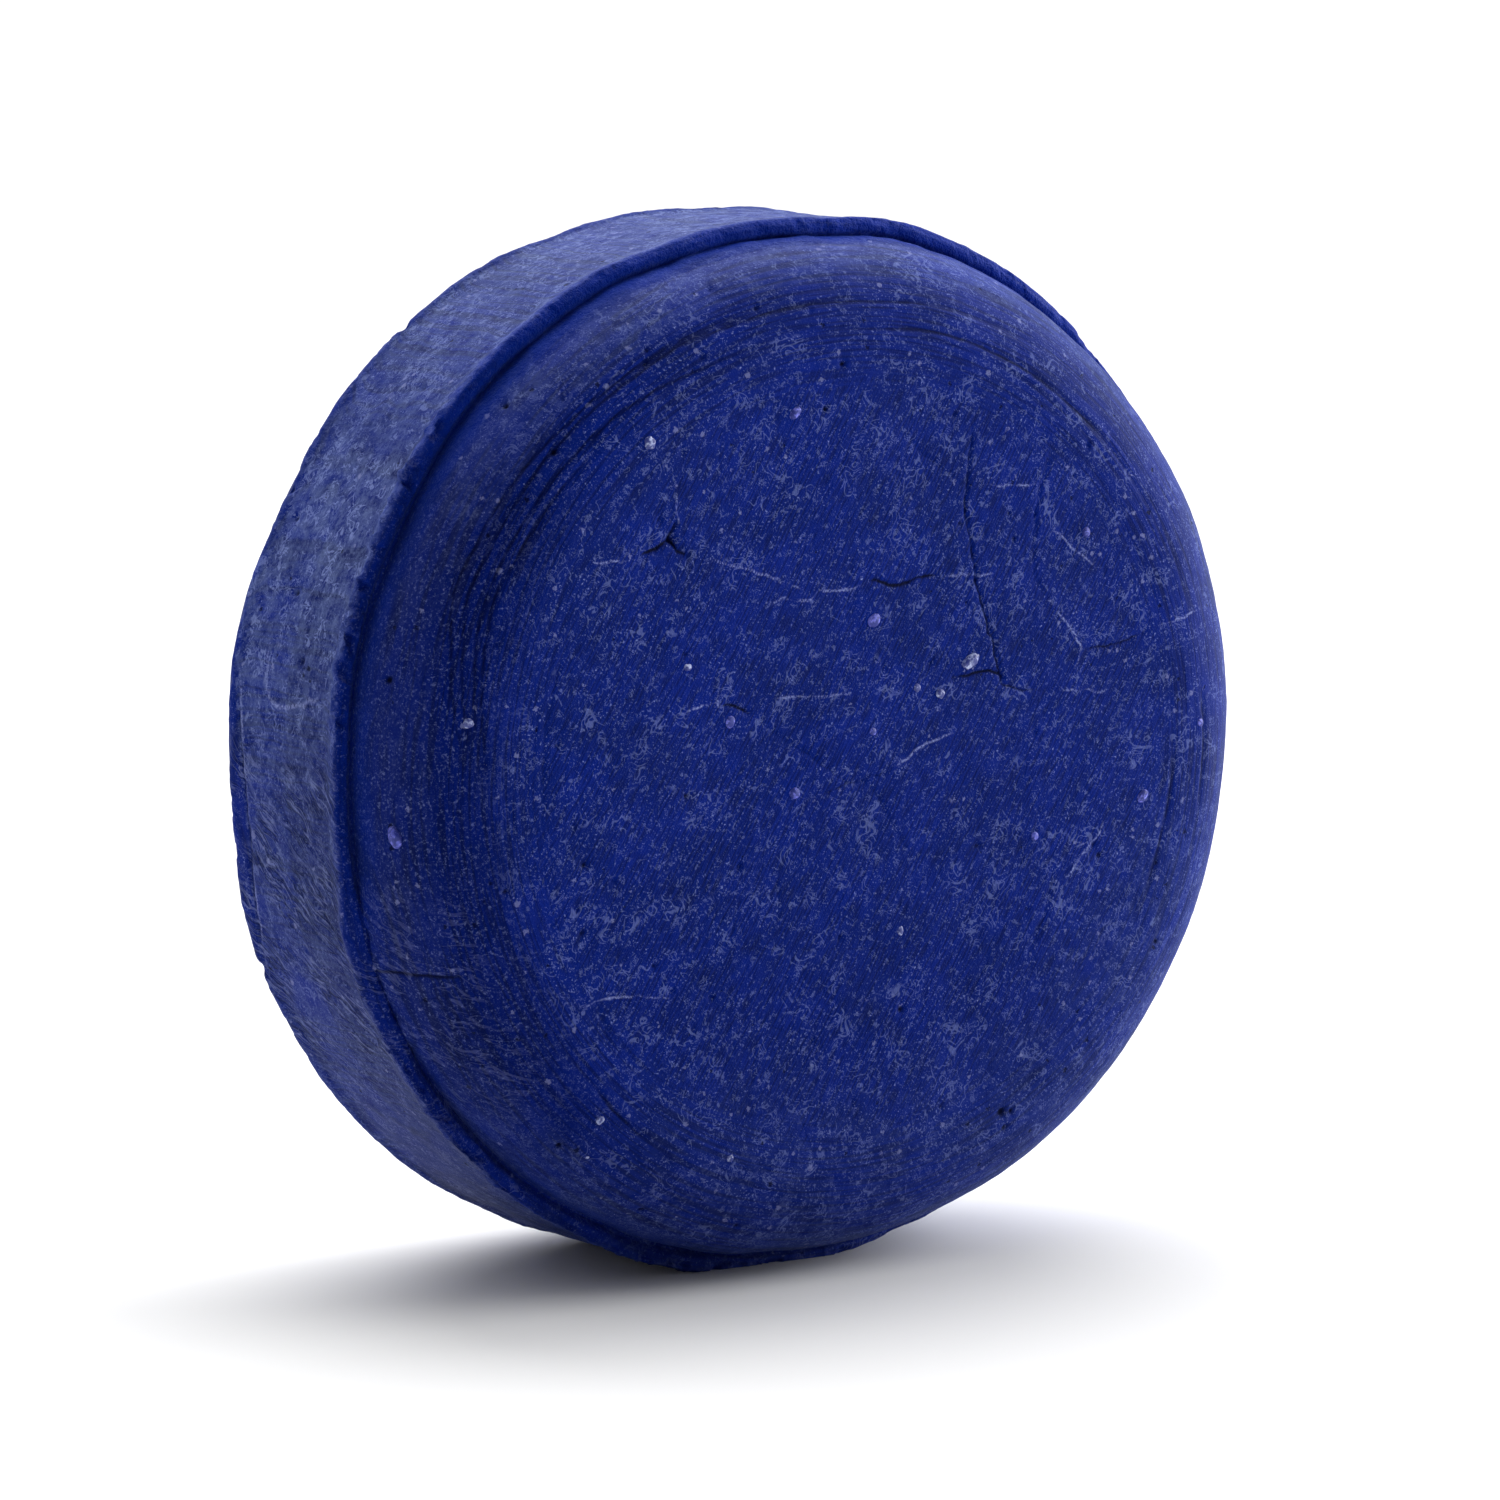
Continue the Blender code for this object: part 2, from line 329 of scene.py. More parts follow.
# The edge of the clean strip along the rear lip, where the dusty skin of the band ends.
STRIP_EDGE = ((160, 6.0), (165, 5.6), (171, 5.1), (177, 4.7), (183, 4.4), (189, 4.3),
              (195, 4.5), (203, 5.2), (210, 6.0))

# Tool rings on the front shoulder: degrees round from +X, and millimetres from the axis.
TOOL_RINGS = (
    ((188, 25.2), (176, 25.4), (157, 27.1), (144, 26.9), (130, 26.3), (115, 26.05), (95, 26.05)),
    ((188, 24.8), (176, 25.0), (157, 26.5), (144, 26.3), (125, 25.9), (83, 25.5), (58, 25.5)),
    ((185, 24.4), (176, 24.5), (157, 25.8), (144, 25.5), (125, 24.9), (115, 24.3), (96, 24.2)),
    ((182, 24.1), (176, 24.2), (157, 25.3), (144, 24.9), (130, 24.4)),
    ((100, 24.0), (76, 24.0), (31, 24.0)),
    ((-2, 22.1), (-25, 22.1)),
    ((5, 24.3), (-12, 24.6)),
    ((-135, 24.0), (-124, 24.4)),
)

# The sheets that crease the smeared skin: how fast they change across themselves and along, per millimetre.
CREASE_WAYS = ((-0.38, -1.3, 1.75), (0.06, -0.24, -0.16), (0.27, -0.12, -0.03))

# Pits of the front face: across, up, width and depth in millimetres.
PITS = (
    (-12.3, 12.8, 0.55, 0.4),
    (-18.2, -20.3, 0.45, 0.3),
    (-18.8, -22.6, 0.6, 0.3),
    (-12.6, -24.6, 0.4, 0.25),
    (10.2, -21.1, 0.6, 0.25),
    (10.9, -21.1, 0.4, 0.2),
    (10.5, -22.0, 0.35, 0.2),
    (-0.9, 22.1, 0.4, 0.2),
    (-2.1, 19.6, 0.35, 0.2),
    (-27.8, 5.8, 0.6, 0.3),
    (-19.0, 17.9, 0.45, 0.25),
    (-20.1, 20.2, 0.4, 0.25),
    (21.1, -12.2, 0.4, 0.2),
)

# Pits of the side band: degrees round, millimetres back, width and depth in millimetres.
BAND_PITS = (
    (168, -1.2, 0.7, 0.3),
    (161, 1.0, 0.5, 0.25),
    (136, -1.5, 0.5, 0.2),
    (153, 3.9, 0.5, 0.25),
)

# Crumbs that cling to the front lip: degrees round, and size in millimetres.
LIP_CRUMBS = ((144, 0.9), (146.5, 0.6), (152, 1.0), (154, 0.6), (158, 0.5), (163, 0.9), (166, 0.6))


# ---------------------------------------------------------------- noise

GRADIENT_COUNT = 256
HASH_PRIMES = (73856093, 19349663, 83492791)


def gradient_table(seed):
    """Random unit directions for the noise's lattice points."""
    directions = np.random.default_rng(seed).normal(size=(GRADIENT_COUNT, 3))
    return directions / np.linalg.norm(directions, axis=1, keepdims=True)


def noise(points, size, seed):
    """Smooth noise, about -1 to 1, with features of the given size."""
    table = gradient_table(seed)
    scaled = points / size
    cell = np.floor(scaled).astype(np.int64)
    part = scaled - cell
    fade = part ** 3 * (part * (part * 6 - 15) + 10)
    total = np.zeros(len(points))
    for corner in itertools.product((0, 1), repeat=3):
        offset = np.array(corner)
        place = (cell + offset) * HASH_PRIMES
        index = (place[:, 0] ^ place[:, 1] ^ place[:, 2]) % GRADIENT_COUNT
        reach = ((part - offset) * table[index]).sum(axis=1)
        weight = np.where(offset, fade, 1 - fade).prod(axis=1)
        total += weight * reach
    return total * 1.6


def layered_noise(points, size, seed, layers=3):
    """Noise with finer and fainter layers on top, about -1 to 1."""
    total = np.zeros(len(points))
    for layer in range(layers):
        total += noise(points, size / 2 ** layer, seed + layer) / 2 ** layer
    return total


def smooth_step(low, high, value):
    """0 below low, 1 above high, and smooth between."""
    share = np.clip((value - low) / (high - low), 0, 1)
    return share * share * (3 - 2 * share)


def bell(value, centre, width):
    """1 at the centre, falling smoothly to nothing over the width."""
    return np.exp(-((value - centre) / width) ** 2)


def angle_gap(angle, centre):
    """Signed difference between angles, in degrees, -180 to 180."""
    return (angle - centre + 180) % 360 - 180


# ---------------------------------------------------------------- the turned form

def face_height(radius):
    """Height of the smooth face over the puck's middle plane."""
    crown = CROWN_DROP * np.clip((radius - LAND_RADIUS) / (FACE_RADIUS - LAND_RADIUS), 0, 1) ** 2
    across = np.clip((radius - FACE_RADIUS) / (FOOT_RADIUS - FACE_RADIUS), 0, 1)
    rise = HALF_THICKNESS - CROWN_DROP - FOOT_HEIGHT
    shoulder = rise * (1 - (1 - across ** SHOULDER_POWER) ** (1 / SHOULDER_POWER))
    return HALF_THICKNESS - crown - shoulder


def dome_outline():
    """Radius and height from the centre of the face to the foot of the shoulder."""
    flat = np.linspace(0, FACE_RADIUS, 400)
    turn = np.sin(np.linspace(0, math.pi / 2, 400)) ** (2 / SHOULDER_POWER)
    radius = np.concatenate((flat, FACE_RADIUS + (FOOT_RADIUS - FACE_RADIUS) * turn[1:]))
    return np.stack((radius, face_height(radius)), axis=1)


def lip_outline():
    """Radius and height out along the flat lip, round its edge and onto the band."""
    share = np.linspace(0, 1, 60)
    flat_radius = FOOT_RADIUS + (RIM_RADIUS - LIP_EDGE - FOOT_RADIUS) * share
    flat_height = FOOT_HEIGHT + LEDGE_DEPTH * smooth_step(0.0, 0.62, share)
    around = np.linspace(math.pi / 2, 0, 20)
    edge_radius = RIM_RADIUS - LIP_EDGE + LIP_EDGE * np.cos(around)
    edge_height = HALF_BAND - LIP_EDGE + LIP_EDGE * np.sin(around)
    back_radius = RIM_RADIUS - LIP_PROUD * smooth_step(0, 1, share)
    back_height = HALF_BAND - LIP_EDGE - LIP_WIDTH * share
    radius = np.concatenate((flat_radius, edge_radius[1:], back_radius[1:]))
    height = np.concatenate((flat_height, edge_height[1:], back_height[1:]))
    return np.stack((radius, height), axis=1)


def spaced(outline, step=None, count=None):
    """The outline's points again, evenly spaced along it."""
    lengths = np.linalg.norm(np.diff(outline, axis=0), axis=1)
    along = np.concatenate(([0], np.cumsum(lengths)))
    if count is None:
        count = int(round(along[-1] / step))
    wanted = np.linspace(0, along[-1], count + 1)
    return np.stack([np.interp(wanted, along, outline[:, k]) for k in (0, 1)], axis=1)


def outline_normals(outline):
    """Outward unit normals, as (radius, height), at each point of an outline that runs outwards and down."""
    slope = np.gradient(outline, axis=0)
    normal = np.stack((-slope[:, 1], slope[:, 0]), axis=1)
    return normal / np.linalg.norm(normal, axis=1, keepdims=True)


class Form:
    """Points of the soap's surface as they are gathered: where each is and which way it faces."""

    def __init__(self):
        self.radius = []
        self.height = []
        self.normal = []
        self.angle = []
        self.faces = []
        self.count = 0

    def add(self, radius, height, normal, angle):
        """Add points, and return the number of the first."""
        self.radius.append(radius)
        self.height.append(height)
        self.normal.append(normal)
        self.angle.append(angle)
        first = self.count
        self.count += len(radius)
        return first

    def joined(self):
        """Everything as single arrays: radius, height, normal, angle and faces."""
        gathered = (self.radius, self.height, self.normal, self.angle, self.faces)
        return [np.concatenate(part) for part in gathered]


def disc_places():
    """A square grid bent into a disc: each point's share of the radius and its angle in radians."""
    steps = np.linspace(-1, 1, FACE_GRID + 1)
    across, up = np.meshgrid(steps, steps, indexing="ij")
    sideways = np.abs(across) > np.abs(up)
    reach = np.where(sideways, across, up)
    safe = np.where(reach == 0, 1, reach)
    turn = np.where(sideways, up / safe, across / safe) * math.pi / 4
    angle = np.where(sideways, turn, math.pi / 2 - turn)
    angle = np.where(reach < 0, angle + math.pi, angle)
    return np.abs(reach).ravel(), angle.ravel()


def disc_edge():
    """The numbers of the grid's edge points, anticlockwise from the lower right corner."""
    side = FACE_GRID + 1
    number = np.arange(side * side).reshape(side, side)
    right = number[-1, :-1]
    top = number[::-1, -1][:-1]
    left = number[0, ::-1][:-1]
    bottom = number[:-1, 0]
    return np.concatenate((right, top, left, bottom))


def disc_faces(front):
    """The grid's quads, seen anticlockwise from outside."""
    side = FACE_GRID + 1
    number = np.arange(side * side).reshape(side, side)
    corners = (number[:-1, :-1], number[1:, :-1], number[1:, 1:], number[:-1, 1:])
    quads = np.stack([corner.ravel() for corner in corners], axis=1)
    return quads if front else quads[:, ::-1]


def add_disc(form, front):
    """Add one domed face, and return the numbers of its edge points."""
    share, angle = disc_places()
    rows = FACE_GRID // 2
    outline = spaced(dome_outline(), count=rows)
    normals = outline_normals(outline)
    row = np.rint(share * rows).astype(int)
    side = 1 if front else -1
    radius = outline[row, 0]
    height = outline[row, 1] * side
    normal = normals[row] * (1, side)
    first = form.add(radius, height, normal, angle)
    form.faces.append(disc_faces(front) + first)
    return disc_edge() + first


def band_rows():
    """Radius, height and normal of the rows between the two domes' feet, front to back."""
    lip = spaced(lip_outline(), step=LIP_STEP)
    band_edge = lip[-1, 1]
    band = np.linspace(band_edge, -band_edge, int(round(2 * band_edge / BAND_STEP)) + 1)[1:-1]
    middle = np.stack((np.full(len(band), BAND_RADIUS), band), axis=1)
    back = lip[::-1] * (1, -1)
    rows = np.concatenate((lip, middle, back))
    return rows, outline_normals(rows)


def add_band(form, front_edge, back_edge):
    """Add the rows between the two faces, and the quads that join them."""
    rows, normals = band_rows()
    _, angle = disc_places()
    angle = angle[disc_edge()]
    before = front_edge
    for row, normal in zip(rows[1:-1], normals[1:-1]):
        radius = np.full(len(angle), row[0])
        height = np.full(len(angle), row[1])
        first = form.add(radius, height, np.tile(normal, (len(angle), 1)), angle)
        here = np.arange(first, form.count)
        form.faces.append(ring_faces(before, here))
        before = here
    form.faces.append(ring_faces(before, back_edge))


def ring_faces(before, after):
    """Quads between two rings of points, the second further back."""
    return np.stack((before, after, np.roll(after, -1), np.roll(before, -1)), axis=1)


def turned_form():
    """The whole turned surface, before it is worked."""
    form = Form()
    front_edge = add_disc(form, True)
    back_edge = add_disc(form, False)
    add_band(form, front_edge, back_edge)
    return form.joined()


# ---------------------------------------------------------------- places on the soap

def place(radius, height, angle):
    """Points about the puck's own centre, from radius, height and angle in radians."""
    return np.stack((radius * np.cos(angle), -height, radius * np.sin(angle)), axis=1)


def on_face(spots):
    """Points of the front face and its shoulder, from millimetres across and up."""
    spots = np.asarray(spots) * MM
    radius = np.minimum(np.hypot(spots[:, 0], spots[:, 1]), FOOT_RADIUS)
    return np.stack((spots[:, 0], -face_height(radius), spots[:, 1]), axis=1)


def on_band(spots):
    """Points of the side band, from millimetres round from +X and back from the band's middle."""
    spots = np.asarray(spots) * MM
    turn = spots[:, 0] / BAND_RADIUS
    return np.stack((BAND_RADIUS * np.cos(turn), spots[:, 1], BAND_RADIUS * np.sin(turn)), axis=1)


def round_the_rim(spots):
    """Spots given as degrees and millimetres back, as millimetres round and back."""
    return [(math.radians(turn) * BAND_RADIUS / MM, back) for turn, back in spots]


def rounded(corners):
    """A smooth flat path through the corners, with points about PATH_STEP apart."""
    corners = np.array(corners, dtype=float)
    ends = np.concatenate((corners[:1], corners, corners[-1:]))
    path = []
    for first, second, third, fourth in zip(ends, ends[1:], ends[2:], ends[3:]):
        count = max(2, int(np.linalg.norm(third - second) / PATH_STEP))
        for share in np.linspace(0, 1, count, endpoint=False):
            path.append(second + (third - first) * share / 2
                        + (first - 2.5 * second + 2 * third - fourth / 2) * share ** 2
                        + (1.5 * second - first / 2 - 1.5 * third + fourth / 2) * share ** 3)
    return np.array(path + [corners[-1]])


def strayed(path, amount, seed):
    """A flat path that wanders a little to each side, as a crack does."""
    level = np.column_stack((path, np.zeros(len(path))))
    strays = [layered_noise(level, WANDER_SIZE, seed + side) for side in range(2)]
    return path + np.stack(strays, axis=1) * amount


def face_path(corners, wander=0.0, seed=1):
    """A path over the front face through corners in millimetres."""
    return on_face(strayed(rounded(corners), wander, seed))


def band_path(corners, wander=0.0, seed=1):
    """A path over the side band through corners in degrees and millimetres back."""
    return on_band(strayed(rounded(round_the_rim(corners)), wander, seed))


def nearest_on_path(points, path):
    """For each point, the nearest place on a path, the distance to it and its share of the path's length."""
    best = np.full(len(points), np.inf)
    nearest = np.zeros_like(points)
    along = np.zeros(len(points))
    lengths = np.linalg.norm(np.diff(path, axis=0), axis=1)
    before = np.concatenate(([0], np.cumsum(lengths)))
    for start, end, length, sofar in zip(path, path[1:], lengths, before):
        run = end - start
        share = np.clip(((points - start) @ run) / max(length ** 2, TINY), 0, 1)
        spot = start + share[:, None] * run
        distance = np.linalg.norm(points - spot, axis=1)
        closer = distance < best
        best[closer] = distance[closer]
        nearest[closer] = spot[closer]
        along[closer] = (sofar + share[closer] * length) / before[-1]
    return nearest, best, along


# ---------------------------------------------------------------- working the surface

class Surface:
    """The soap's surface while it is worked: its smooth form, how far it is pushed, and its marks."""

    def __init__(self):
        self.radius, self.height, profile, angle, self.quads = turned_form()
        self.turn = np.degrees(angle)
        self.points = place(self.radius, self.height, angle)
        self.normal = place(profile[:, 0], profile[:, 1], angle)
        self.push = np.zeros(len(angle))
        self.shift = np.zeros_like(self.points)
        self.marks = {name: np.zeros(len(angle)) for name in MARKS}

    def mark(self, name, amount, where=slice(None)):
        """Raise a mark to an amount from 0 to 1, where it is lower."""
        self.marks[name][where] = np.maximum(self.marks[name][where], amount)

    def press(self, path, depth, width, crack=0.0, seam=0.0, snap=False, breaks=0.0):
        """Press a groove into the surface along a path; a negative depth raises a ridge."""
        reach = 3 * width
        inside = (self.points > path.min(axis=0) - reach) & (self.points < path.max(axis=0) + reach)
        near = np.flatnonzero(inside.all(axis=1))
        nearest, distance, along = nearest_on_path(self.points[near], path)
        strength = 1 - np.abs(2 * along - 1) ** 6
        strength *= 1 - breaks * smooth_step(0.0, 0.5, noise(nearest, BREAK_SIZE, BREAK_SEED))
        if snap:
            close = (distance < SNAP_REACH) & (strength > 0.3)
            self.points[near[close]] = nearest[close]
            distance[close] = 0
        strength *= bell(distance, 0, width)
        self.push[near] -= depth * strength
        # Painted shade in the groove, darkest where it is a crack.
        self.mark("crack", crack * strength, near)
        self.mark("seam", seam * strength, near)

    def dent(self, spot, width, depth, crack=0.0, rim=0.0):
        """Press a round pit, with a rim that stands proud and pale."""
        distance = np.linalg.norm(self.points - spot, axis=1)
        near = np.flatnonzero(distance < 3 * width)
        ragged = distance[near] * (1 + PIT_RAGGED * noise(self.points[near], width, PIT_SEED))
        self.push[near] -= depth * bell(ragged, 0, width / 2)
        edge = bell(ragged, 0.75 * width, width / 5)
        edge *= smooth_step(-0.1, 0.5, noise(self.points[near], width, PIT_SEED + 1))
        self.push[near] += rim * depth / 4 * edge
        # Painted shade in the pit's middle.
        self.mark("crack", crack * bell(ragged, 0, width / 2), near)
        self.mark("seam", rim * edge, near)


def span(value, low, high, soft):
    """1 from low to high, and soft outside them."""
    return smooth_step(low - soft, low, value) * (1 - smooth_step(high, high + soft, value))


def sector(surface, middle, half, soft):
    """1 within half an angle of the middle one, in degrees, and soft outside it."""
    return 1 - smooth_step(half, half + soft, np.abs(angle_gap(surface.turn, middle)))


def crest_share(surface):
    """1 on the outer edge of either lip, 0 away from it."""
    outer = smooth_step(RIM_RADIUS - 3 * LIP_EDGE, RIM_RADIUS - LIP_EDGE, surface.radius)
    return outer * smooth_step(HALF_BAND - 4 * LIP_EDGE, HALF_BAND - LIP_EDGE, np.abs(surface.height))


def ledge_share(surface):
    """1 on the flat of either lip, 0 away from it."""
    return span(surface.radius, FOOT_RADIUS, RIM_RADIUS - 1.5 * LIP_EDGE, LIP_EDGE)


def band_share(surface):
    """1 on the side band, 0 on the faces."""
    outer = smooth_step(RIM_RADIUS - 2 * LIP_EDGE, BAND_RADIUS, surface.radius)
    return outer * (1 - smooth_step(HALF_BAND - LIP_EDGE, HALF_BAND, np.abs(surface.height)))


def turned_streaks(surface, across, length, width, seed):
    """Noise drawn out round the axis: streaks of a length and width, across a given direction."""
    turn = np.radians(surface.turn)
    along = RIM_RADIUS / length
    spots = np.stack((np.cos(turn) * along, np.sin(turn) * along, across / width), axis=1)
    return noise(spots, 1.0, seed)


def leave_lumps(surface):
    """The soft lumps and fine grain that pressing leaves all over."""
    surface.push += LUMP_HEIGHT * noise(surface.points, LUMP_SIZE, 11)
    surface.push += LUMP_HEIGHT / 3 * noise(surface.points, LUMP_SIZE / 3, 12)
    surface.push += GRAIN_HEIGHT * layered_noise(surface.points, GRAIN_SIZE, 13, 2)
    band = band_share(surface)
    surface.push += BAND_LUMP_HEIGHT * band * layered_noise(surface.points, BAND_LUMP_SIZE, 14)


def press_each(surface, to_path, lines, wander, seed, depth, width, **marks):
    """Press a groove or a ridge along each of some lines, which wander by their own seeds."""
    for number, corners in enumerate(lines):
        surface.press(to_path(corners, wander, seed + number), depth, width, **marks)


def brush_shoulders(surface):
    """Rings and fine brush marks that the turning tool left round the shoulders."""
    zone = span(surface.radius, BRUSHED_FROM, FOOT_RADIUS, 1.5 * MM)
    fine = turned_streaks(surface, surface.radius, 9 * MM, 0.3 * MM, 21)
    broad = turned_streaks(surface, surface.radius, 14 * MM, 1.1 * MM, 22)
    surface.push += BRUSH_HEIGHT * zone * (fine + broad)
    for number, corners in enumerate(TOOL_RINGS):
        flat = [(math.cos(math.radians(turn)) * reach, math.sin(math.radians(turn)) * reach)
                for turn, reach in finer_turns(corners)]
        beside = [(x * RING_BESIDE, z * RING_BESIDE) for x, z in flat]
        for side in BOTH_SIDES:
            groove = face_path(flat, 0.05, 30 + number) * side
            ridge = face_path(beside, 0.05, 30 + number) * side
            surface.press(groove, RING_DEPTH, RING_WIDTH, crack=0.7, breaks=0.2)
            surface.press(ridge, -RING_DEPTH / 2, RING_WIDTH, seam=0.25)


def finer_turns(corners):
    """Corners in degrees and millimetres from the axis, with more between them to follow the curve."""
    turns = [corner[0] for corner in corners]
    reaches = [corner[1] for corner in corners]
    count = max(2, int(abs(turns[-1] - turns[0]) / RING_TURN_STEP))
    order = np.argsort(turns)
    fine = np.linspace(turns[0], turns[-1], count + 1)
    return list(zip(fine, np.interp(fine, np.array(turns)[order], np.array(reaches)[order])))


def streak_band(surface):
    """Scuffed streaks round the side band."""
    band = band_share(surface)
    fine = turned_streaks(surface, surface.height, 3.5 * MM, 0.35 * MM, 41)
    slanted = turned_streaks(surface, surface.height + 0.45 * surface.points[:, 2], 5 * MM, 0.7 * MM, 42)
    lower = sector(surface, -150, 25, 20)
    surface.push += STREAK_HEIGHT * band * (fine + (0.6 + 1.2 * lower) * slanted)


def crack_face(surface):
    """Cracks, faint lines and pale seams of the front face."""
    for number, (openness, corners) in enumerate(CRACKS):
        surface.press(face_path(corners, CRACK_WANDER, 50 + number), CRACK_DEPTH * openness, CRACK_WIDTH,
                      crack=openness, snap=True, breaks=0.25)
    press_each(surface, face_path, FAINT_LINES, CRACK_WANDER / 2, 70, CRACK_DEPTH / 3, CRACK_WIDTH,
               crack=0.5, breaks=0.4)
    press_each(surface, face_path, SEAMS, CRACK_WANDER, 90, -SEAM_HEIGHT, CRACK_WIDTH,
               seam=1.0, snap=True, breaks=0.35)


def scratch_faces(surface):
    """Short light scratches, most of them along the brushing of the faces."""
    draw = np.random.default_rng(SCRATCH_SEED)
    for number in range(SCRATCH_COUNT):
        reach = 24 * math.sqrt(draw.uniform())
        turn = draw.uniform(0, 2 * math.pi)
        middle = np.array((reach * math.cos(turn), reach * math.sin(turn)))
        lean = math.radians(draw.normal(BRUSH_LEAN, 28))
        half = draw.uniform(0.8, 3.2) * np.array((math.cos(lean), math.sin(lean)))
        bow = draw.normal(0, 0.12) * np.array((-half[1], half[0]))
        corners = (middle - half, middle + bow, middle + half)
        pale = draw.uniform() < 0.55
        for side in BOTH_SIDES:
            surface.press(face_path(corners, 0.08, 200 + number) * side, SCRATCH_DEPTH, SCRATCH_WIDTH,
                          crack=0.0 if pale else 0.45, seam=0.4 if pale else 0.0, breaks=0.5)


def fold_lower_left(surface):
    """Folds where the lip was smeared over the ledge, and those that run on over the band."""
    press_each(surface, face_path, FOLDS, 0.1, 110, FOLD_DEPTH / 2, FOLD_WIDTH, crack=0.45, breaks=0.5)
    surface.press(face_path(MAIN_FOLD, 0.1, 109), FOLD_DEPTH, FOLD_WIDTH, crack=0.8)
    press_each(surface, face_path, FOLD_RIDGES, 0.1, 130, -FOLD_DEPTH / 3, FOLD_WIDTH, seam=0.6)
    for number, corners in enumerate(BAND_FOLDS):
        surface.press(band_path(corners, 0.15, 140 + number), FOLD_DEPTH / 2, FOLD_WIDTH,
                      crack=0.5, breaks=0.3)
        beside = [(turn + 1.0, back) for turn, back in corners]
        surface.press(band_path(beside, 0.15, 140 + number), -FOLD_DEPTH / 3, FOLD_WIDTH,
                      seam=0.6, breaks=0.4)


def scuff_band(surface):
    """Scratches of the band, the edge of its lifted flake, and pale crumbly scuffs."""
    press_each(surface, band_path, BAND_SCRATCHES, 0.15, 150, FOLD_DEPTH / 3, FOLD_WIDTH / 2,
               seam=0.6, breaks=0.3)
    surface.press(band_path(FLAKE_EDGE, 0.3, 160), -FLAKE_HEIGHT, 1.6 * FOLD_WIDTH, seam=0.9)
    inner = [(turn + 1.2, back) for turn, back in FLAKE_EDGE]
    surface.press(band_path(inner, 0.3, 160), FLAKE_HEIGHT, 1.6 * FOLD_WIDTH, crack=0.3)
    crumbs = smooth_step(0.0, 0.5, layered_noise(surface.points, SCUFF_GRAIN, 161, 2))
    for turn, back, size in BAND_SCUFFS:
        distance = np.linalg.norm(surface.points - on_band(round_the_rim([(turn, back)]))[0], axis=1)
        surface.mark("seam", 0.9 * bell(distance, 0, size * MM) * crumbs)


def crease_lower_left(surface):
    """The lower left, where the smeared skin is creased from the band over the lip and onto the shoulder."""
    on_side = band_share(surface) * sector(surface, -164, 14, 8)
    on_shoulder = smooth_step(24.5 * MM, 27 * MM, surface.radius) * sector(surface, -154, 10, 8)
    patches = smooth_step(-0.5, 0.2, noise(surface.points, 3 * MM, 102))
    surface.mark("creased", patches * np.maximum(on_side, 0.4 * on_shoulder) * (surface.height > -HALF_BAND))


def pit_surface(surface):
    """Pits that crumbs left in the face, and in the band."""
    for across, up, width, depth in PITS:
        surface.dent(on_face([(across, up)])[0], width * MM, depth * MM, crack=1.0, rim=0.6)
    for turn, back, width, depth in BAND_PITS:
        spot = on_band(round_the_rim([(turn, back)]))[0]
        surface.dent(spot, width * MM, depth * MM, crack=0.7, rim=0.6)
    draw = np.random.default_rng(SMALL_PIT_SEED)
    for _ in range(SMALL_PIT_COUNT):
        reach = 28 * math.sqrt(draw.uniform())
        turn = draw.uniform(0, 2 * math.pi)
        spot = on_face([(reach * math.cos(turn), reach * math.sin(turn))])[0]
        width = draw.uniform(0.25, 0.45) * MM
        darkness, rim = draw.uniform(0.3, 0.9), draw.uniform(0, 0.8)
        for side in BOTH_SIDES:
            surface.dent(spot * side, width, width / 3, crack=darkness, rim=rim)


def wear_lips(surface):
    """Uneven lips, crumbling at the left, smeared flat at the lower left and shallow at the top."""
    crest = crest_share(surface)
    front = surface.height > 0
    unevenness = layered_noise(surface.points, LIP_WAVE, 61)
    surface.push += LIP_WEAR * crest * unevenness
    ragged = np.maximum(sector(surface, 156, 15, 5), 0.5 * sector(surface, -118, 28, 12)) * front
    tears = smooth_step(0.05, 0.5, layered_noise(surface.points, TEAR_SIZE, 62))
    surface.shift[:, 1] += TEAR_DEPTH * crest * tears * (0.35 + ragged) * np.sign(surface.height)
    crumbs = smooth_step(0.1, 0.5, noise(surface.points, TEAR_SIZE / 2, 63))
    surface.push += CRUMB_HEIGHT * crest * crumbs * (0.15 + ragged)
    surface.mark("seam", 0.6 * crest * crumbs * (0.5 + 0.5 * ragged))
    for turn, size in LIP_CRUMBS:
        spot = place_one(RIM_RADIUS, HALF_BAND - LIP_EDGE, turn)
        surface.dent(spot, size * MM, -CRUMB_HEIGHT, rim=-0.5)
    smeared = sector(surface, -158, 6, 6) * front
    rough = 0.75 + 0.5 * noise(surface.points, 1.5 * MM, 64)
    shallow = 0.45 * sector(surface, 85, 35, 25) * front
    surface.push += LEDGE_DEPTH * ledge_share(surface) * np.maximum(smeared, shallow) * rough
    surface.shift[:, 1] += TEAR_DEPTH * crest * smeared


def place_one(radius, height, turn):
    """One point from radius, height and degrees."""
    turn = math.radians(turn)
    return np.array((radius * math.cos(turn), -height, radius * math.sin(turn)))


def chip_rear_lip(surface):
    """Small chips out of the rear lip."""
    for turn, size in REAR_CHIPS:
        spot = place_one(RIM_RADIUS, -HALF_BAND + LIP_EDGE, turn)
        surface.dent(spot, size * MM, CHIP_DEPTH, crack=0.3, rim=0.4)


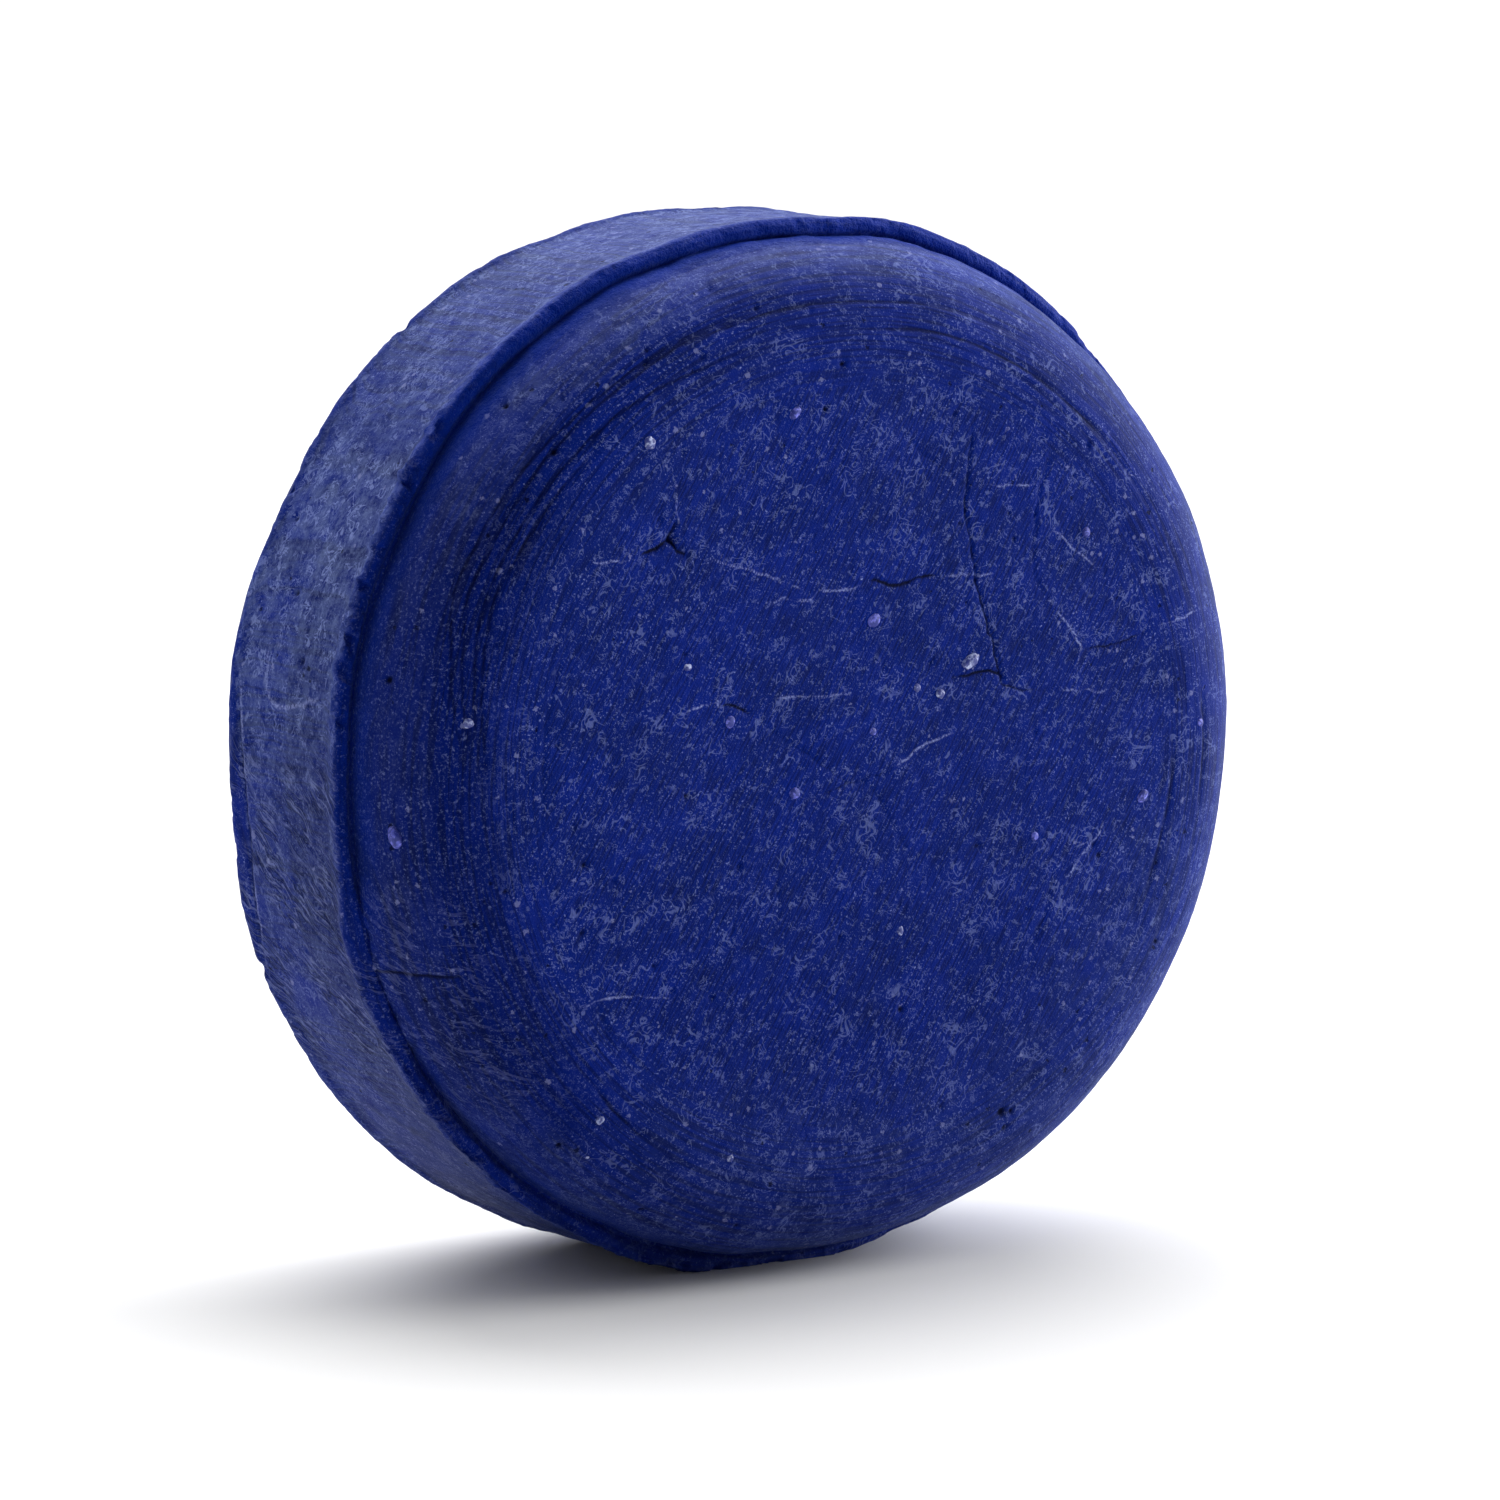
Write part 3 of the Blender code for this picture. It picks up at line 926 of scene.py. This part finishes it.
def strip_share(surface):
    """1 on the clean strip along the rear lip, 0 on the dusty band before it."""
    turns = np.array([turn for turn, _ in STRIP_EDGE])
    backs = np.array([back for _, back in STRIP_EDGE]) * MM
    turn = surface.turn % 360
    edge = np.interp(turn, turns, backs, left=HALF_BAND, right=HALF_BAND)
    inside = span(turn, turns[0], turns[-1], 1)
    return inside * smooth_step(0, 0.3 * MM, -surface.height - edge)


def raise_rear_strip(surface):
    """The clean strip stands a little proud, behind a thin crease with a pale edge."""
    surface.push += STRIP_HEIGHT * strip_share(surface)
    surface.press(band_path(STRIP_EDGE, 0.1, 170), FOLD_DEPTH, FOLD_WIDTH, crack=0.6)
    before = [(turn, back - 0.25) for turn, back in STRIP_EDGE]
    surface.press(band_path(before, 0.1, 170), -FOLD_DEPTH / 2, FOLD_WIDTH, seam=1.0, breaks=0.2)


def dust_light_and_shade(surface):
    """Pale dust, thick on the band, thin on the faces, least on the lips; and painted light and shade."""
    cloud = layered_noise(surface.points, 4 * MM, 81)
    band = band_share(surface) * (1 - 0.85 * strip_share(surface))
    thinner = 1 - 0.6 * sector(surface, -140, 35, 25) - 0.3 * sector(surface, 105, 30, 20)
    surface.mark("dust_and_light", np.clip(band * thinner * (0.85 + 0.3 * cloud), 0, 1))
    # A paler ring at the foot of the front shoulder: dust and painted sheen, less on the shaded left.
    foot = span(surface.radius, 27.2 * MM, 28.5 * MM, 0.7 * MM) * (surface.height > 0)
    shaded = sector(surface, 185, 25, 30)
    surface.mark("dust_and_light", FOOT_DUST_AND_SHEEN * foot * (1 + 0.5 * cloud) * (1 - 0.8 * shaded))
    # Painted light on the lips' own clean blue: most on the crests, less on the shaded left and bottom.
    lips = np.maximum(ledge_share(surface) * (1 - band), 0.8 * crest_share(surface))
    low = sector(surface, -105, 50, 20)
    surface.mark("lip_blue_and_light", lips * (1 - 0.5 * shaded) * (1 - 0.7 * low))
    # Painted shade: the left of the front shoulder is marked darker, with fewer flecks.
    shoulder = smooth_step(FACE_RADIUS, 25 * MM, surface.radius) * (surface.height > 0)
    surface.mark("bare_and_shaded", shoulder * shaded)
    # Painted light: the lower right of the front face turns paler, where light from low right would fall.
    rim = smooth_step(16 * MM, 26 * MM, surface.radius) * (1 - band) * (surface.height > 0)
    surface.mark("dust_and_light", LOWER_RIGHT_PAINTED_LIGHT * rim * sector(surface, -65, 45, 25))


def out_of_round(surface, points):
    """The points moved out or in a little, as the real puck isn't quite round."""
    grown = np.zeros(len(points))
    for middle, half, soft, amount in OUT_OF_ROUND:
        grown += amount * MM * sector(surface, middle, half, soft)
    grown *= (surface.radius / RIM_RADIUS) ** 3
    lip = smooth_step(FOOT_RADIUS, RIM_RADIUS - LIP_EDGE, surface.radius)
    lip *= smooth_step(0, HALF_BAND, surface.height)
    for middle, half, soft, amount in WORN_LIP:
        grown += amount * MM * lip * sector(surface, middle, half, soft)
    turn = np.radians(surface.turn)
    points[:, 0] += grown * np.cos(turn)
    points[:, 2] += grown * np.sin(turn)
    return points


def worked_surface():
    """The soap's surface with everything done to it, standing on the floor."""
    surface = Surface()
    for work in (leave_lumps, brush_shoulders, streak_band, crack_face, scratch_faces, fold_lower_left,
                 scuff_band, crease_lower_left, pit_surface, wear_lips, chip_rear_lip, raise_rear_strip,
                 dust_light_and_shade, seat_grains):
        work(surface)
    points = surface.points + surface.normal * surface.push[:, None] + surface.shift
    points = out_of_round(surface, points)
    points[:, 2] = np.maximum(points[:, 2] + AXIS_HEIGHT, 0)
    return surface, points


# ---------------------------------------------------------------- meshes

def quad_mesh(name, points, quads, marks):
    """A smooth mesh of quads, with each mark as a value at its points."""
    mesh = bpy.data.meshes.new(name)
    mesh.vertices.add(len(points))
    mesh.vertices.foreach_set("co", points.astype(np.float32).ravel())
    mesh.loops.add(quads.size)
    mesh.loops.foreach_set("vertex_index", quads.astype(np.int32).ravel())
    mesh.polygons.add(len(quads))
    mesh.polygons.foreach_set("loop_start", np.arange(0, quads.size, 4, dtype=np.int32))
    mesh.update(calc_edges=True)
    for mark, values in marks.items():
        layer = mesh.attributes.new(mark, "FLOAT", "POINT")
        layer.data.foreach_set("value", values.astype(np.float32))
    mesh.shade_smooth()
    return mesh


def add_piece(name, mesh, material, node):
    """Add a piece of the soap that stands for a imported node."""
    piece = bpy.data.objects.new(name, mesh)
    bpy.context.scene.collection.objects.link(piece)
    mesh.materials.append(material)
    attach(piece, "root")
    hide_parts(node)
    return piece


def seat_grains(surface):
    """Draw the soap up round each grain, so that it sits in a shallow collar."""
    for node in GRAIN_NODES:
        low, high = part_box(node)
        middle = np.array((low + high) / 2) - (0, 0, AXIS_HEIGHT)
        size = max(high - low)
        surface.dent(middle, 1.3 * size, -COLLAR_HEIGHT)
        surface.dent(middle, 0.9 * size, COLLAR_HEIGHT)


def grain_mesh(node, roughness, seed):
    """A fine, irregular pebble over a packed grain."""
    shape = bmesh.new()
    shape.from_mesh(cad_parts[node].data)
    bmesh.ops.remove_doubles(shape, verts=shape.verts, dist=WELD)
    bmesh.ops.subdivide_edges(shape, edges=shape.edges, cuts=2, smooth=0.6, use_grid_fill=True)
    spots = np.array([vert.co[:] for vert in shape.verts])
    middle = spots.mean(axis=0)
    lumps = layered_noise(spots, GRAIN_LUMP, seed, 2)
    spots = middle + (spots - middle) * (1 + roughness * lumps[:, None])
    for vert, spot in zip(shape.verts, spots):
        vert.co = spot
    mesh = bpy.data.meshes.new(node + "_pebble")
    shape.to_mesh(mesh)
    shape.free()
    for layer in list(mesh.uv_layers):
        mesh.uv_layers.remove(layer)
    mesh.shade_smooth()
    return mesh


# ---------------------------------------------------------------- materials

class Nodes:
    """A node tree, with short ways to add to it."""

    def __init__(self, tree):
        self.tree = tree

    def feed(self, socket, value):
        """Link an output to a socket, or set the socket's own value."""
        if isinstance(value, bpy.types.NodeSocket):
            self.tree.links.new(value, socket)
        else:
            socket.default_value = value

    def add(self, kind, **values):
        """Add a node, with its inputs linked or set by their names."""
        node = self.tree.nodes.new("ShaderNode" + kind)
        for name, value in values.items():
            self.feed(node.inputs[name.replace("_", " ")], value)
        return node

    def math(self, operation, first, second=0.0, third=0.0):
        node = self.add("Math")
        node.operation = operation
        for socket, value in zip(node.inputs, (first, second, third)):
            self.feed(socket, value)
        return node.outputs[0]

    def plus(self, first, second):
        return self.math("ADD", first, second)

    def minus(self, first, second):
        return self.math("SUBTRACT", first, second)

    def times(self, first, second):
        return self.math("MULTIPLY", first, second)

    def most(self, first, second):
        return self.math("MAXIMUM", first, second)

    def without(self, value, share):
        """A value with a share of it taken away."""
        return self.times(value, self.minus(1.0, share))

    def sway(self, value, amount):
        """A noise turned into a push down or up, by an amount."""
        return self.times(self.minus(value, 0.5), amount)

    def vector(self, operation, first, second=(0, 0, 0), scale=1.0):
        node = self.add("VectorMath")
        node.operation = operation
        self.feed(node.inputs[0], first)
        self.feed(node.inputs[1], second)
        if operation == "SCALE":
            node.inputs["Scale"].default_value = scale
        return node.outputs["Value" if operation in ("LENGTH", "DOT_PRODUCT") else "Vector"]

    def split(self, vector):
        """The X, Y and Z of a vector."""
        return self.add("SeparateXYZ", Vector=vector).outputs

    def ranged(self, value, low, high, bottom, top, smooth=True):
        """From bottom, where a value is low, to top, where it is high; low may be above high."""
        node = self.add("MapRange")
        node.interpolation_type = "SMOOTHSTEP" if smooth else "LINEAR"
        for name, given in zip(("Value", "From Min", "From Max", "To Min", "To Max"),
                               (value, low, high, bottom, top)):
            self.feed(node.inputs[name], given)
        return node.outputs["Result"]


class Shading(Nodes):
    """A material's nodes; its coordinates are millimetres from the middle of the puck."""

    def __init__(self, name):
        self.material = bpy.data.materials.new(name)
        self.material.use_nodes = True
        super().__init__(self.material.node_tree)
        self.shader = self.tree.nodes["Principled BSDF"]
        where = self.add("TexCoord").outputs["Object"]
        centred = self.vector("SUBTRACT", where, (0, 0, AXIS_HEIGHT))
        self.spots = self.vector("SCALE", centred, scale=1 / MM)

    def noise(self, size, detail=2.0, roughness=0.5, spots=None, distortion=0.0):
        """Noise from 0 to 1 with features of a size in millimetres."""
        node = self.add("TexNoise", Vector=spots or self.spots, Scale=1 / size, Detail=detail,
                        Roughness=roughness, Distortion=distortion)
        return node.outputs["Fac"]

    def fade(self, value, low, high, top=1.0):
        """0 at low to top at high, smooth between."""
        return self.ranged(value, low, high, 0.0, top)

    def near(self, value, middle, width):
        """1 where a value is at the middle, 0 a width away from it."""
        gap = self.math("ABSOLUTE", self.minus(value, middle))
        return self.fade(gap, width, width / 4)

    def mix(self, share, first, second, kind="RGBA"):
        """One colour or number turned into another by a share."""
        node = self.add("Mix")
        node.data_type = kind
        for name, value in zip(("Factor", "A", "B"), (share, first, second)):
            self.feed(node.inputs[name], value)
        return node.outputs["Result"]

    def tint(self, colour, second, share, amount):
        """A colour turned towards a second one, by a share of an amount."""
        return self.mix(self.times(share, amount), colour, second)

    def warped(self, size, amount):
        """The coordinates bent this way and that, to make round things irregular."""
        bent = self.add("TexNoise", Vector=self.spots, Scale=1 / size).outputs["Color"]
        strayed_by = self.vector("SUBTRACT", bent, (0.5, 0.5, 0.5))
        return self.vector("ADD", self.spots, self.vector("SCALE", strayed_by, scale=amount))

    def specks(self, spacing, size, chosen):
        """Round specks of a size in millimetres, in a chosen share of cells this far apart."""
        cells = self.add("TexVoronoi", Vector=self.warped(0.15, 0.35), Scale=1 / spacing).outputs
        drawn = self.add("SeparateColor", Color=cells["Color"]).outputs
        picked = self.math("LESS_THAN", drawn["Red"], chosen)
        reach = self.times(drawn["Green"], size / spacing)
        inside = self.math("DIVIDE", cells["Distance"], reach)
        return self.times(self.fade(inside, 1.0, 0.6), picked)

    def fibres(self, size, width, coverage, distortion=0.8):
        """Thin curled threads, where a noise is near its middle, over a share of the soap."""
        line = self.math("ABSOLUTE", self.minus(self.noise(size, 1.5, 0.5, None, distortion), 0.5))
        shown = self.fade(self.noise(size * 1.7, 1.0), 1 - coverage, 1.08 - coverage)
        return self.times(self.fade(line, width, width / 4), shown)

    def round_the_axis(self):
        """Set up the distance from the axis, the way outward from it, and the place along it."""
        split = self.split(self.spots)
        self.depth = split["Y"]
        flat = self.add("CombineXYZ", X=split["X"], Z=split["Z"]).outputs[0]
        self.reach = self.vector("LENGTH", flat)
        self.outward = self.vector("NORMALIZE", flat)

    def streaks(self, across, length, width):
        """Noise drawn out round the puck's axis, of a length and width in millimetres."""
        split = self.split(self.outward)
        along = RIM_RADIUS / MM / length
        spots = self.add("CombineXYZ", X=self.times(split["X"], along), Y=self.times(split["Z"], along),
                         Z=self.math("DIVIDE", across, width))
        return self.noise(1.0, spots=spots.outputs[0])

    def attribute(self, name):
        node = self.add("Attribute")
        node.attribute_name = name
        return node.outputs["Fac"]

    def bump(self, height, distance):
        """Make the surface's normal follow a height, as deep as a distance in metres."""
        bumped = self.add("Bump", Distance=distance, Height=height)
        self.feed(self.shader.inputs["Normal"], bumped.outputs["Normal"])

    def finish(self, **values):
        """Set or link the shader's own inputs by their names."""
        for name, value in values.items():
            self.feed(self.shader.inputs[name.replace("_", " ")], value)


def streaked(soap):
    """Streaks brushed across the face, and turned round the shoulders."""
    lean = math.radians(BRUSH_LEAN)
    ways = ((math.cos(lean) / BRUSHED_LENGTH, 0, math.sin(lean) / BRUSHED_LENGTH),
            (-math.sin(lean) / BRUSHED_WIDTH, 0, math.cos(lean) / BRUSHED_WIDTH))
    along, across = (soap.vector("DOT_PRODUCT", soap.spots, way) for way in ways)
    brushed = soap.noise(1.0, spots=soap.add("CombineXYZ", X=along, Y=across).outputs[0])
    turned = soap.streaks(soap.reach, *TURNED_STREAK)
    at_shoulder = soap.times(soap.fade(soap.reach, 19.0, 23.5), soap.fade(soap.marks["dust_and_light"], 0.5, 0.2))
    return soap.mix(at_shoulder, brushed, turned, "FLOAT")


def pressed_mass(soap, dark_streaks):
    """Navy and ultramarine in soft clouds, darker on the left of the front shoulder as painted shade."""
    clouds = soap.fade(soap.noise(CLOUD_SIZE, 4.0, 0.6), 0.35, 0.65)
    mass = soap.mix(clouds, NAVY, ULTRAMARINE)
    mass = soap.tint(mass, PAINTED_SHADE_NAVY, soap.marks["bare_and_shaded"], 0.5)
    return soap.tint(mass, CRACK_SHADE_AND_STREAK_COLOUR, dark_streaks, 0.5)


def pale_share(soap, flecks, threads, dark_streaks):
    """How much pale stuff shows: flecks, in some places denser than in others, and curled threads."""
    bare_and_shaded = soap.marks["bare_and_shaded"]
    raised = soap.plus(flecks, soap.sway(soap.noise(FLECK_PATCH_SIZE), FLECK_PATCHINESS))
    # Fewer flecks and threads on the left shoulder, as painted shade; fine granules still show there.
    raised = soap.minus(raised, soap.times(bare_and_shaded, SHADED_SHOULDER_BARENESS))
    pale = soap.without(soap.fade(raised, 0.57, 0.76), soap.times(dark_streaks, 0.8))
    covered = soap.minus(1.0, soap.times(bare_and_shaded, 0.9))
    long_threads = soap.fibres(1.0, 0.035, 0.45, 1.4)
    pale = soap.most(pale, soap.times(soap.times(threads, covered), 0.28))
    pale = soap.most(pale, soap.times(soap.times(long_threads, covered), 0.32))
    pale = soap.without(pale, soap.times(soap.marks["lip_blue_and_light"], 0.6))
    pale = soap.without(pale, soap.times(bare_and_shaded, 0.4))
    granules = soap.fade(soap.noise(GRANULE_SIZE, 4.0, 0.8), 0.53, 0.68, 0.4)
    return soap.most(pale, soap.times(granules, bare_and_shaded))


def dusted_and_lit(soap, colour):
    """A colour under the band's dust, cloudy, scuffed and streaked round it, and some painted light."""
    dust_and_light = soap.marks["dust_and_light"]
    patchy = soap.math("MULTIPLY_ADD", soap.noise(DUST_PATCH_SIZE, 6.0, 0.82), 2.6, -0.85)
    patchy = soap.plus(patchy, soap.sway(soap.streaks(soap.depth, *BANDED_STREAK), 0.2))
    dusty = soap.times(dust_and_light, soap.fade(patchy, 0.05, 0.95))
    # Dust, and painted light where the mark is paler at the shoulder's foot and the face's lower right.
    colour = soap.tint(colour, DUST_AND_LIGHT_COLOUR, dusty, DUST_AND_LIGHT_STRENGTH)
    scuffs = soap.times(soap.fibres(0.6, 0.06, 0.5, 1.2), dust_and_light)
    return soap.tint(colour, FLECK_COLOUR, scuffs, 0.5)


def marked(soap, colour, flecks):
    """A colour under the marks that are pressed into the mesh."""
    # Painted light on the lips, most on their crests; painted shade keeps the left and bottom darker.
    colour = soap.tint(colour, LIT_LIP_BLUE, soap.marks["lip_blue_and_light"], 0.5)
    broken_seam = soap.times(soap.fade(soap.marks["seam"], 0.45, 1.0), soap.fade(flecks, 0.38, 0.58))
    colour = soap.tint(colour, SEAM_COLOUR, broken_seam, 0.65)
    # Painted shade in cracks, grooves and pits.
    return soap.mix(soap.fade(soap.marks["crack"], 0.25, 0.85), colour, CRACK_SHADE_AND_STREAK_COLOUR)


def crease_lines(soap):
    """The valleys and ridges of the smeared skin: lines where slanting sheets cut the surface."""
    bent = soap.warped(2.2, 1.2)
    across = [soap.vector("DOT_PRODUCT", bent, way) for way in CREASE_WAYS]
    sheets = soap.add("CombineXYZ", **dict(zip("XYZ", across)))
    folds = soap.noise(1.0, spots=sheets.outputs[0])
    valleys = soap.times(soap.near(folds, 0.46, 0.035), soap.marks["creased"])
    ridges = soap.times(soap.near(folds, 0.55, 0.04), soap.marks["creased"])
    return valleys, ridges


def soap_material():
    """Dark ultramarine soap with pale flecks, curled threads, brushed streaks and dust on its band."""
    soap = Shading("soap")
    soap.round_the_axis()
    soap.marks = {name: soap.attribute(name) for name in MARKS}
    flecks = soap.noise(FLECK_SIZE, 3.0, 0.7)
    threads = soap.fibres(0.28, 0.055, 0.45)
    streaky = streaked(soap)
    dark_streaks = soap.fade(streaky, 0.56, 0.36)
    specks = soap.most(soap.specks(0.6, 0.22, 0.1), soap.specks(2.1, 0.4, 0.05))
    pinholes = soap.specks(0.7, 0.2, 0.1)
    valleys, ridges = crease_lines(soap)

    colour = pressed_mass(soap, dark_streaks)
    colour = soap.tint(colour, FLECK_COLOUR, pale_share(soap, flecks, threads, dark_streaks), FLECK_STRENGTH)
    colour = dusted_and_lit(soap, colour)
    colour = soap.tint(colour, SPECK_COLOUR, specks, 0.42)
    # Painted shade in the pinholes, which the bump also presses in.
    colour = soap.tint(colour, CRACK_SHADE_AND_STREAK_COLOUR, pinholes, 0.8)
    colour = marked(soap, colour, flecks)
    # Painted shade along the crease valleys.
    colour = soap.tint(colour, CRACK_SHADE_AND_STREAK_COLOUR, valleys, 0.5)
    colour = soap.tint(colour, SEAM_COLOUR, ridges, 0.3)

    rough = soap.plus(soap.math("MULTIPLY_ADD", flecks, 0.3, 0.42), soap.times(soap.marks["dust_and_light"], 0.1))
    soap.finish(Base_Color=colour, Roughness=rough, Specular_IOR_Level=SOAP_SPECULAR,
                Specular_Tint=SOAP_GLOSS_TINT, Sheen_Weight=SOAP_SHEEN,
                Sheen_Roughness=SOAP_SHEEN_ROUGHNESS, Sheen_Tint=SOAP_GLOSS_TINT)

    relief = soap.plus(soap.times(flecks, 0.7), soap.times(threads, 0.25))
    relief = soap.plus(relief, soap.times(streaky, 0.7))
    relief = soap.minus(relief, soap.times(pinholes, 0.8))
    relief = soap.plus(relief, soap.minus(ridges, valleys))
    crumbs = soap.times(soap.noise(CRUMB_SIZE, 4.0, 0.75), soap.times(soap.marks["lip_blue_and_light"], CRUMB_RELIEF))
    soap.bump(soap.plus(relief, crumbs), SOAP_RELIEF)
    return soap.material


def grain_material(name, dark, light, roughness):
    """A hard grain, mottled between two colours and filmed with soap in places."""
    grain = Shading(name)
    mottle = grain.fade(grain.noise(0.25, 3.0, 0.6), 0.35, 0.65)
    film = grain.fade(grain.noise(0.3, 3.0, 0.65), 0.4, 0.54, GRAIN_FILM)
    colour = grain.mix(film, grain.mix(mottle, dark, light), ULTRAMARINE)
    grain.finish(Base_Color=colour, Roughness=grain.math("MULTIPLY_ADD", mottle, 0.2, roughness))
    grain.bump(grain.noise(0.12), GRAIN_RELIEF)
    return grain.material


# ---------------------------------------------------------------- the studio

def direction(azimuth, elevation):
    """The way from the puck to a place; azimuth 0 is in front of the face, and 90 is towards +X."""
    azimuth, elevation = math.radians(azimuth), math.radians(elevation)
    level = math.cos(elevation)
    return Vector((math.sin(azimuth) * level, -math.cos(azimuth) * level, math.sin(elevation)))


def aimed(thing, azimuth, elevation, distance):
    """Put a camera or light at a distance from the puck's centre, looking at it."""
    bpy.context.scene.collection.objects.link(thing)
    way = direction(azimuth, elevation)
    thing.location = Vector((0, 0, AXIS_HEIGHT)) + way * distance
    thing.rotation_mode = "QUATERNION"
    thing.rotation_quaternion = (-way).to_track_quat("-Z", "Y")
    return thing


def add_camera():
    """The camera that looks at the face from a little to the left and above."""
    camera = aimed(bpy.data.objects.new("camera", bpy.data.cameras.new("camera")),
                   CAMERA_AZIMUTH, CAMERA_ELEVATION, CAMERA_DISTANCE)
    camera.data.lens = CAMERA_LENS
    camera.data.shift_x, camera.data.shift_y = CAMERA_SHIFT
    camera.data.clip_start = 0.01
    camera.data.clip_end = 100
    bpy.context.scene.camera = camera


def add_softbox(name, azimuth, elevation, distance, size, radiance):
    """A square softbox of a size and radiance, aimed at the puck."""
    lamp = bpy.data.lights.new(name, "AREA")
    lamp.shape = "SQUARE"
    lamp.size = size
    lamp.energy = radiance * math.pi * size ** 2
    aimed(bpy.data.objects.new(name, lamp), azimuth, elevation, distance)


def light_room():
    """White to the camera; to the soap a pale room that is darker behind the camera."""
    world = bpy.data.worlds.new("studio")
    bpy.context.scene.world = world
    world.use_nodes = True
    seen = world.node_tree.nodes["Background"]
    seen.inputs["Color"].default_value = WHITE
    room = Nodes(world.node_tree)
    way = room.add("TexCoord").outputs["Generated"]
    toward = room.vector("DOT_PRODUCT", way, direction(*DARK_SIDE))
    dim = room.ranged(toward, 0.0, 0.85, ROOM_BRIGHT, ROOM_DARK)
    rise = room.ranged(room.split(way)["Z"], 0.3, 1.0, 1.0, ROOM_TOP_GAIN, smooth=False)
    lit = room.add("Background", Color=WHITE, Strength=room.times(dim, rise))
    choice = room.add("MixShader", Fac=room.add("LightPath").outputs["Is Camera Ray"])
    room.feed(choice.inputs[1], lit.outputs[0])
    room.feed(choice.inputs[2], seen.outputs[0])
    room.feed(world.node_tree.nodes["World Output"].inputs["Surface"], choice.outputs[0])


def add_floor():
    """A plain pale floor, which throws less light back on the soap than it shows."""
    bpy.ops.mesh.primitive_plane_add(size=FLOOR_SIZE)
    floor = bpy.context.object
    floor.name = "floor"
    matt = Shading("floor")
    path = matt.add("LightPath").outputs["Is Camera Ray"]
    matt.finish(Base_Color=matt.mix(path, FLOOR_BOUNCE, FLOOR_COLOUR), Roughness=0.9, Specular_IOR_Level=0.0)
    floor.data.materials.append(matt.material)


def add_lights():
    """A soft overhead light, a softbox to each side and the room."""
    overhead = bpy.data.lights.new("overhead", "SUN")
    overhead.energy = OVERHEAD_STRENGTH
    overhead.angle = math.radians(OVERHEAD_SOFTNESS)
    aimed(bpy.data.objects.new("overhead", overhead), *OVERHEAD_PLACE)
    for softbox in SOFTBOXES:
        add_softbox(*softbox)
    light_room()


def add_soap():
    """The worked body of the soap."""
    surface, points = worked_surface()
    mesh = quad_mesh("soap_surface", points, surface.quads, surface.marks)
    add_piece("soap_surface", mesh, soap_material(), "soap_body")


def add_grains():
    """The grains, white ones more broken than blue ones."""
    white = grain_material("white_grain", WHITE_SHADED, WHITE_BRIGHT, 0.3)
    blue = grain_material("blue_grain", BLUE_SHADED, BLUE_BRIGHT, 0.4)
    for number, node in enumerate(GRAIN_NODES):
        pale = node.startswith("white")
        mesh = grain_mesh(node, WHITE_LUMPINESS if pale else BLUE_LUMPINESS, GRAIN_SEED + number)
        material = white if pale else blue
        add_piece(node + "_pebble", mesh, material, node)


add_soap()
add_grains()
add_camera()
add_lights()
add_floor()
bpy.context.scene.view_settings.view_transform = "Standard"
